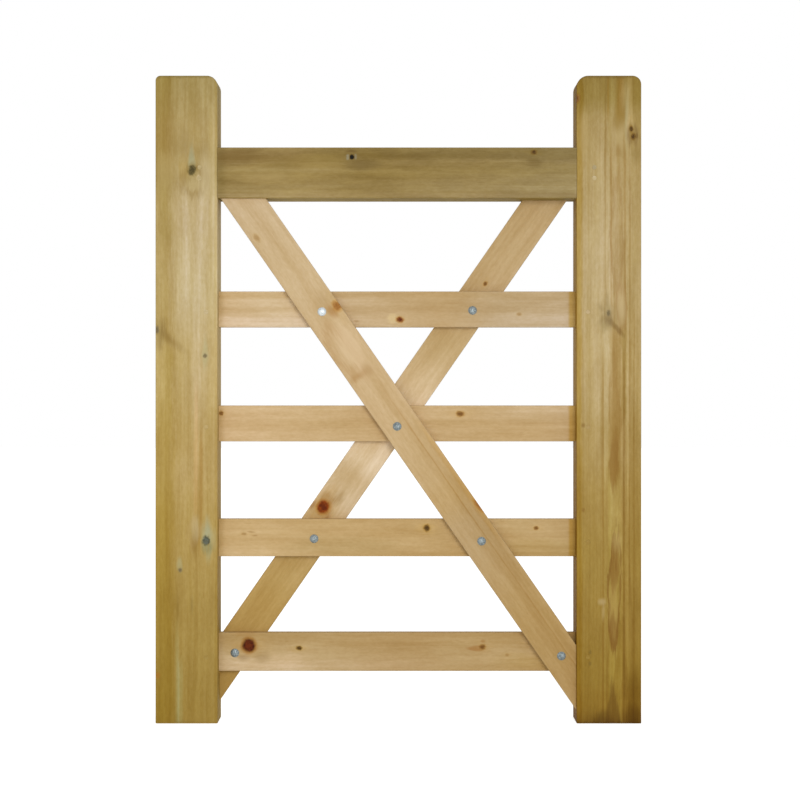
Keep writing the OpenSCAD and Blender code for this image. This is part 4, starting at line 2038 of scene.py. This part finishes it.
RIGHT_STILE_FINISH = TimberFinish(
    tones=(
        Tone(0.0, tone(144, 121, 64)), Tone(0.03, tone(149, 127, 70)), Tone(0.08, tone(173, 151, 104)),
        Tone(0.14, tone(182, 161, 117)), Tone(0.28, tone(192, 172, 133)), Tone(0.47, tone(189, 167, 122)),
        Tone(0.56, tone(175, 150, 97)), Tone(0.66, tone(167, 140, 79)), Tone(0.75, tone(164, 137, 72)),
        Tone(0.84, tone(160, 132, 66)), Tone(0.92, tone(157, 129, 59)), Tone(0.97, tone(153, 123, 52)),
        Tone(1.0, tone(132, 102, 39)),
    ),
    seed=2.0, pith_across=20.0, pith_deep=-10.0, ring_width=5.2, taper=-0.008, wander=22.0,
    late_share=0.26, heart_radius=43.0, heart_soft=4.0, heart_late=0.5,
    # The right stile's inner face gets a painted shade, darker and less blue.
    heart=shade(0.9, 0.86, 0.74), under=shade(0.86, 0.74, 0.4),
    bands=(
        Band(-57, 7, 4, shade(0.86, 0.77, 0.42)),
        Band(-55, 8, 4, shade(0.93, 0.9, 0.82), 150, 540, 100),
        Band(50, 14, 8, shade(0.92, 0.89, 0.8)),
        Band(46, 13, 8, shade(0.93, 0.91, 0.82), 330, 660, 120),
        Band(16, 12, 5, shade(0.94, 0.91, 0.85), 150, 440, 60),
        Band(11, 11.5, 4, shade(0.86, 0.79, 0.62), 490, 730, 50),
        Band(21, 8, 3, shade(0.95, 0.88, 0.66), -20, 70, 30),
        Band(38, 5, 2.5, shade(1.24, 1.28, 1.5), -20, 100, 30),
        Band(-2, 1.2, 1.2, shade(0.95, 0.84, 0.6), -20, 60, 30),
        Band(6, 4, 2, shade(1.08, 1.12, 1.2), 0, 70, 30),
        Band(50, 8, 3, shade(1.08, 1.1, 1.08), -20, 90, 40),
        Band(-7, 1.5, 1.5, shade(0.84, 0.78, 0.64), 60, 420, 60),
        Band(3.5, 1.5, 1.5, shade(0.86, 0.78, 0.64), 170, 420, 60),
        Band(29, 2, 1.6, shade(0.85, 0.77, 0.62), 150, 430, 60),
        Band(38, 1.3, 1.4, shade(0.85, 0.78, 0.64), 200, 900, 100),
        Band(46, 1.3, 1.4, shade(0.85, 0.78, 0.64), 480, 1150, 100),
        Band(34, 1.6, 1.6, shade(1.1, 1.12, 1.2), 500, 1150, 100),
        Band(11, 12, 4, shade(1.09, 1.15, 1.2), 770, 1300, 60),
        Band(11, 11, 4, shade(1.1, 1.14, 1.24), 765, 855, 30),
        Band(11, 11, 4, shade(1.12, 1.16, 1.28), 1070, 1120, 30),
        Band(23, 1.6, 1.6, shade(1.16, 1.2, 1.38), 560, 1300),
        Band(27.5, 1.6, 1.6, shade(0.78, 0.7, 0.54), 560, 1300),
        Band(-7, 1.4, 1.5, shade(1.1, 1.14, 1.25), 700, 1300),
        Band(-11, 1.4, 1.4, shade(0.84, 0.76, 0.6), 560, 1300),
        Band(46, 14, 8, shade(0.74, 0.68, 0.5), 1140, 1300, 70),
        Band(44, 14, 6, shade(0.78, 0.73, 0.62), 1176, 1300, 20),
        Band(27, 5, 4, shade(0.86, 0.82, 0.62), 490, 610, 60),
        Band(-1, 8, 4, shade(1.12, 1.18, 1.34), 510, 710, 60),
    ),
    spots=(
        Spot(405, 900, 130, 12, tone(150, 114, 58), 0.5, 0.3, 1.0, 0.9),
        Spot(411, 771, 40, 11, tone(150, 110, 54), 0.5, 0.3, 0.6, 0.92),
        Spot(400, 560, 130, 11, tone(146, 110, 52), 0.45, 0.35, 1.0, 0.5),
        Spot(400, 484, 50, 10, tone(138, 100, 42), 0.6, 0.45, 1.0, 0.2),
        Spot(400, 238, 108, 14, tone(122, 82, 30), 0.8, 0.2, 1.0, 0.95),
        Spot(399, 212, 60, 9, tone(178, 150, 82), 0.55, 0.4, 1.0),
        Spot(399, 282, 42, 8, tone(128, 86, 32), 0.6, 0.5, 1.0, 0.1),
        Spot(398, 168, 32, 8, tone(126, 86, 32), 0.7, 0.5, 1.0, 0.3),
        Spot(398, 2, 62, 11, tone(104, 72, 24), 0.7, 0.4, 1.0, 0.2),
        Spot(380, 1, 9, 30, tone(92, 64, 22), 0.5, 0.6),
        Spot(376, 225, 6, 7, tone(198, 176, 128), 0.45, 0.6),
        Spot(379, 207, 14, 2.5, tone(188, 164, 108), 0.5, 0.6),
        Spot(412, 1162, 40, 5, tone(156, 118, 54), 0.3, 0.6),
        Spot(424, 1120, 46, 2.4, tone(182, 172, 128), 0.4, 0.7),
        Spot(411, 1087, 24, 9, tone(190, 168, 118), 0.5, 0.6),
        Spot(408, 1118, 20, 10, tone(146, 118, 56), 0.6, 0.6),
        Spot(421, 1166, 24, 8, tone(180, 158, 106), 0.4, 0.8),
        Spot(342, 1094, 30, 8, tone(190, 166, 112), 0.4, 0.8),
        Spot(438, 1053, 16, 8, tone(138, 114, 56), 0.45, 0.8),
        Spot(411, 774, 28, 7, tone(202, 180, 134), 0.5, 0.8),
        Spot(384, 740, 13, 8, tone(146, 128, 82), 0.45, 0.8),
        Spot(404, 336, 16, 8, tone(188, 162, 100), 0.45, 0.8),
        Spot(377, 12, 10, 14, tone(84, 56, 14), 0.45, 0.8),
        Spot(437, 1088, 5, 3, tone(100, 74, 34), 0.7, 0.5),
        Spot(408, 1062, 12, 5, tone(150, 118, 62), 0.5, 0.6),
        Spot(433, 1090, 18, 8, tone(122, 96, 52), 0.6, 0.5),
        Spot(402, 733, 20, 4, tone(112, 82, 34), 0.55, 0.6, turn=40),
        Spot(388, 749, 10, 4, tone(118, 94, 60), 0.5, 0.7),
        Spot(378, 748, 12, 4.5, tone(134, 110, 62), 0.35, 0.9, turn=-40),
        Spot(378, 768, 11, 4, tone(138, 116, 70), 0.3, 0.9, turn=50),
        Spot(387, 778, 16, 3.5, tone(134, 112, 68), 0.35, 0.9),
        Spot(387, 758, 20, 17, tone(150, 128, 82), 0.3, 0.9),
        Spot(342, 552, 4, 3, tone(128, 96, 44), 0.6, 0.6),
        Spot(342, 395, 4, 3, tone(134, 98, 40), 0.55, 0.6),
        Spot(355, 132, 4, 2.5, tone(112, 92, 44), 0.5, 0.6),
        Spot(355, 111, 4, 2.5, tone(112, 92, 44), 0.5, 0.6),
        Spot(390, 1200, 5, 80, tone(110, 88, 44), 0.5, 0.4),
        Spot(390, 0, 4, 80, tone(74, 50, 14), 0.5, 0.4),
    ),
    knots=(
        Knot(331, 1158, 9, 6, KnotKind.BROWN, 10),
        Knot(431, 1101, 6.5, 4, KnotKind.OLIVE),
        Knot(435, 1087, 6.5, 4.5, KnotKind.OLIVE),
        Knot(389, 760, 6.5, 4.5, KnotKind.GREY),
    ),
)

TOP_RAIL_FINISH = TimberFinish(
    tones=(
        Tone(0.0, tone(150, 128, 79)), Tone(0.25, tone(158, 136, 86)), Tone(0.42, tone(145, 123, 73)),
        Tone(0.7, tone(149, 128, 81)), Tone(1.0, tone(152, 133, 89)),
    ),
    seed=3.0, late_share=0.12, streak_share=0.34, patch_share=0.75, pith_across=30.0, pith_deep=-40.0,
    ring_width=6.2, patch=shade(1.12, 1.12, 1.04), dark=shade(0.83, 0.79, 0.66),
    # Painted light and shade on the top rail's underside: paler in red and green, less blue.
    under=shade(1.1, 1.08, 0.74),
    bands=(
        Band(32, 12, 9, shade(0.84, 0.8, 0.74)),
        Band(34, 12, 8, shade(0.84, 0.84, 0.74), 210, 900),
        Band(2, 9, 8, shade(1.05, 1.06, 1.05)),
        Band(-44, 5, 4, shade(1.05, 1.05, 1.16)),
        # Painted shade at the left end, where the top rail meets the left stile.
        Band(0, 60, 1, shade(0.82, 0.81, 0.74), -200, 6, 16),
    ),
    spots=(
        Spot(-303, 1047, 44, 12, tone(116, 90, 44), 0.5, 0.7),
        Spot(-150, 1042, 50, 10, tone(160, 136, 74), 0.35, 0.7),
        Spot(-212, 1036, 40, 10, tone(132, 108, 54), 0.45, 0.7),
        Spot(-66, 1034, 30, 9, tone(110, 90, 50), 0.5, 0.7),
        Spot(-245, 1010, 40, 9, tone(180, 156, 102), 0.4, 0.8),
        Spot(251, 1040, 12, 8, tone(112, 90, 46), 0.45, 0.7),
        Spot(-94, 1049, 2.5, 2.5, tone(150, 154, 134), 0.35, 0.7),
        Spot(-79, 1050, 2, 2.5, tone(146, 148, 128), 0.3, 0.7),
        Spot(-86, 1058, 10, 2.5, tone(106, 82, 42), 0.6, 0.6),
    ),
    knots=(
        Knot(-86, 1049, 5, 5, KnotKind.BLACK),
        Knot(251, 1058, 6, 4.5, KnotKind.OLIVE),
    ),
)


def board_finish(seed: float, tones: Sequence[Tone], **changes: Any) -> TimberFinish:
    """Return the finish of one of the thinner boards.

    Args:
        seed: What sets its grain apart from the others'.
        tones: Its ground colours along its length.
        changes: Its own figure and knots.

    Returns:
        The finish.
    """
    values: dict[str, Any] = {
        "pale": shade(1.1, 1.13, 1.24), "dark": shade(0.89, 0.84, 0.74), "late": shade(0.8, 0.7, 0.55),
        "worn": shade(1.1, 1.14, 1.26), "patch": shade(1.05, 1.06, 1.1), "end_grain": shade(0.82, 0.76, 0.66),
        "late_share": 0.15, "patch_share": 0.7, "pith_across": 8.0, "pith_deep": -40.0, "ring_width": 6.0,
    }
    values.update(changes)
    return TimberFinish(tones=tones, seed=seed, **values)


# Painted shade where the lower rails meet the stiles: a soft darkening at the left ends and a darker, olive
# one at the right ends.
RAIL_END_PAINTED_SHADE = (
    Band(0, 60, 1, shade(0.9, 0.88, 0.78), -200, 62, 12),
    Band(0, 60, 1, shade(0.86, 0.75, 0.38), 716, 2000, 6),
)
SECOND_RAIL_FINISH = board_finish(
    4.0,
    (Tone(0.08, tone(205, 178, 135)), Tone(0.22, tone(209, 185, 145)), Tone(0.35, tone(200, 175, 135)),
     Tone(0.6, tone(189, 161, 116)), Tone(0.75, tone(189, 165, 126)), Tone(0.95, tone(196, 174, 138))),
    bands=(
        *RAIL_END_PAINTED_SHADE,
        Band(-24, 12, 8, shade(1.1, 1.14, 1.3), 0, 210, 90),
        Band(26, 6, 5, shade(0.95, 0.92, 0.84)),
        Band(-20, 14, 10, shade(1.12, 1.18, 1.36), 620, 900),
    ),
    spots=(Spot(-12, 752, 8, 6, tone(218, 194, 144), 0.5), Spot(-78, 746, 6, 2, tone(160, 122, 74), 0.5)),
    knots=(Knot(3, 749, 7.5, 6, KnotKind.RUST), Knot(225, 759, 5, 3.5, KnotKind.FAINT)),
)
THIRD_RAIL_FINISH = board_finish(
    5.0,
    (Tone(0.08, tone(210, 181, 136)), Tone(0.4, tone(199, 170, 123)), Tone(0.8, tone(196, 167, 120)),
     Tone(0.95, tone(199, 171, 127))),
    bands=(*RAIL_END_PAINTED_SHADE, Band(18, 14, 10, shade(1.07, 1.12, 1.26), 620, 900)),
    knots=(Knot(115, 573, 8, 5.5, KnotKind.BROWN), Knot(-331, 574, 5, 4.5, KnotKind.BROWN)),
)
FOURTH_RAIL_FINISH = board_finish(
    6.0,
    (Tone(0.08, tone(205, 176, 126)), Tone(0.4, tone(196, 166, 115)), Tone(0.7, tone(188, 157, 104)),
     Tone(0.95, tone(192, 163, 113))),
    bands=(
        *RAIL_END_PAINTED_SHADE,
        Band(-18, 14, 10, shade(0.9, 0.9, 0.84), 240, 340),
        Band(18, 14, 10, shade(1.1, 1.16, 1.3), 520, 620),
        Band(-18, 14, 10, shade(0.95, 0.95, 0.87), 620, 900),
    ),
    spots=(
        Spot(-276, 352, 7, 1.6, tone(168, 130, 78), 0.6),
        Spot(-268, 346, 6, 1.6, tone(168, 130, 78), 0.6),
    ),
    knots=(
        Knot(-288, 349, 6, 3, KnotKind.FAINT), Knot(53, 360, 6.5, 7, KnotKind.OLIVE),
        Knot(257, 360, 5, 4, KnotKind.BROWN),
    ),
)
BOTTOM_RAIL_FINISH = board_finish(
    7.0,
    (Tone(0.08, tone(196, 170, 123)), Tone(0.3, tone(197, 171, 125)), Tone(0.5, tone(189, 160, 112)),
     Tone(0.8, tone(187, 157, 107)), Tone(0.95, tone(184, 153, 99))),
    bands=(
        Band(23, 14, 8, shade(0.9, 0.86, 0.76)),
        Band(-26, 10, 8, shade(1.12, 1.16, 1.32), 60, 380, 120),
        Band(-14, 16, 10, shade(1.16, 1.19, 1.34), 100, 190, 60),
        Band(0, 30, 10, shade(1.06, 1.1, 1.17), 520, 620),
        Band(-20, 14, 10, shade(0.97, 0.95, 0.82), 640, 900),
    ),
    spots=(
        Spot(143, 136, 12, 3, tone(160, 110, 52), 0.6, 0.6),
        Spot(158, 146, 4, 3, tone(160, 110, 52), 0.5, 0.6),
        Spot(-280, 158, 24, 8, tone(164, 118, 58), 0.3, 0.7),
        Spot(-257, 126, 14, 9, tone(156, 126, 76), 0.5, 0.8),
        Spot(-290, 126, 12, 6, tone(136, 104, 60), 0.45, 0.8),
    ),
    knots=(
        Knot(-279, 141, 13.5, 14, KnotKind.RED), Knot(-185, 136, 6, 4.5, KnotKind.OLIVE),
        Knot(157, 138, 6.5, 5.5, KnotKind.BROWN), Knot(203, 123, 4, 3, KnotKind.FAINT),
    ),
)
FRONT_BRACE_FINISH = board_finish(
    8.0,
    (Tone(0.0, tone(201, 177, 138)), Tone(0.18, tone(202, 177, 135)), Tone(0.3, tone(197, 169, 124)),
     Tone(0.42, tone(199, 171, 126)), Tone(0.55, tone(196, 168, 121)), Tone(0.6, tone(189, 159, 108)),
     Tone(0.66, tone(184, 156, 110)), Tone(0.85, tone(182, 151, 97)), Tone(1.0, tone(180, 148, 94))),
    bands=(
        Band(12, 1, 1.2, shade(0.88, 0.8, 0.66), 560, 1300, 160),
        Band(30, 4, 3, shade(0.92, 0.84, 0.66), 600, 780, 80),
    ),
    spots=(
        Spot(-121, 767, 12, 8, tone(168, 120, 58), 0.65, 0.7),
        Spot(-101, 689, 60, 20, tone(176, 136, 84), 0.5, 0.25, 0.0, 0.97),
        Spot(-89, 697, 52, 17, tone(224, 198, 160), 0.55, 0.6),
        Spot(-135, 784, 16, 14, tone(176, 146, 98), 0.4, 0.8),
        Spot(-76, 642, 6, 16, tone(172, 132, 78), 0.5, 0.8),
        Spot(-56, 656, 12, 7, tone(170, 132, 80), 0.5, 0.8),
    ),
    knots=(
        Knot(-263, 900, 9, 5, KnotKind.FAINT), Knot(-114, 774, 11, 8.5, KnotKind.ORANGE),
        Knot(148, 404, 16, 5, KnotKind.ORANGE),
    ),
)
# The back brace's pale tones near its middle are partly its own colour and partly painted light that offsets
# the shade cast by the third rail and the front brace.
BACK_BRACE_FINISH = board_finish(
    9.0,
    (Tone(0.0, tone(188, 160, 112)), Tone(0.11, tone(190, 163, 117)), Tone(0.2, tone(190, 162, 116)),
     Tone(0.3, tone(192, 165, 117)), Tone(0.43, tone(220, 196, 156)), Tone(0.54, tone(222, 200, 164)),
     Tone(0.575, tone(202, 176, 133)), Tone(0.615, tone(209, 185, 146)), Tone(0.66, tone(197, 169, 121)),
     Tone(0.74, tone(187, 157, 98)), Tone(0.84, tone(185, 153, 89)), Tone(1.0, tone(179, 145, 77))),
    spots=(
        Spot(-143, 378, 14, 5, tone(150, 98, 34), 0.6, 0.7),
        Spot(-154, 398, 9, 4, tone(140, 88, 36), 0.5, 0.7),
        Spot(-130, 414, 10, 8, tone(156, 116, 58), 0.5, 0.8),
        Spot(-116, 418, 14, 7, tone(158, 126, 72), 0.5, 0.7),
    ),
    knots=(Knot(163, 817, 5, 4, KnotKind.BROWN), Knot(-141, 398, 14, 13.5, KnotKind.FIERY)),
)


def timbers() -> list[Timber]:
    """Return every timber of the gate, from the frame to the braces.

    Returns:
        The timbers in the order in which they are built.
    """
    second, third, fourth, bottom = LOWER_RAILS
    return [
        Stile(Side.LEFT, 115 * MM, 9 * MM, 20 * MM, Slot.LEFT_STILE, LEFT_STILE_FINISH),
        Stile(Side.RIGHT, 120 * MM, 16 * MM, 22 * MM, Slot.RIGHT_STILE, RIGHT_STILE_FINISH),
        TopRail(TOP_RAIL_FINISH),
        LowerRail(second, ("front_brace_upper", "back_brace_upper"), SECOND_RAIL_FINISH),
        LowerRail(third, (MIDDLE_BOLT,), THIRD_RAIL_FINISH),
        LowerRail(fourth, ("front_brace_lower", "back_brace_lower"), FOURTH_RAIL_FINISH),
        LowerRail(bottom, ("front_brace_foot", "back_brace_foot"), BOTTOM_RAIL_FINISH),
        Brace(
            "front", Side.RIGHT, -330 * MM, SIZES.right_face, 24 * MM, -18 * MM, Slot.FRONT_BRACE,
            (*FRONT_BOLTS, MIDDLE_BOLT), FRONT_BRACE_FINISH,
        ),
        Brace(
            "back", Side.LEFT, 316 * MM, SIZES.left_face, 35 * MM, 18 * MM, Slot.BACK_BRACE,
            (*BACK_BOLTS, MIDDLE_BOLT), BACK_BRACE_FINISH,
        ),
    ]


def main() -> None:
    """Build and dress the gate piece by piece, then set up the studio."""
    logging.basicConfig(level=logging.INFO, format="%(message)s")
    groups = GrainGroups()
    made = timbers()
    for timber in made:
        timber.dress(timber.build(), groups)
    # A paler zinc for one bolt head: a painted highlight.
    bright = ZincFinish(tone(206, 212, 214), tone(182, 190, 194))
    CoachBolts().build(ZincFinish().make("zinc_plate", groups), bright.make("bright_zinc", groups))
    Dowels().build(groups, [timber for timber in made if isinstance(timber, Stile)])
    Studio().build()


if __name__ == "__main__":
    main()
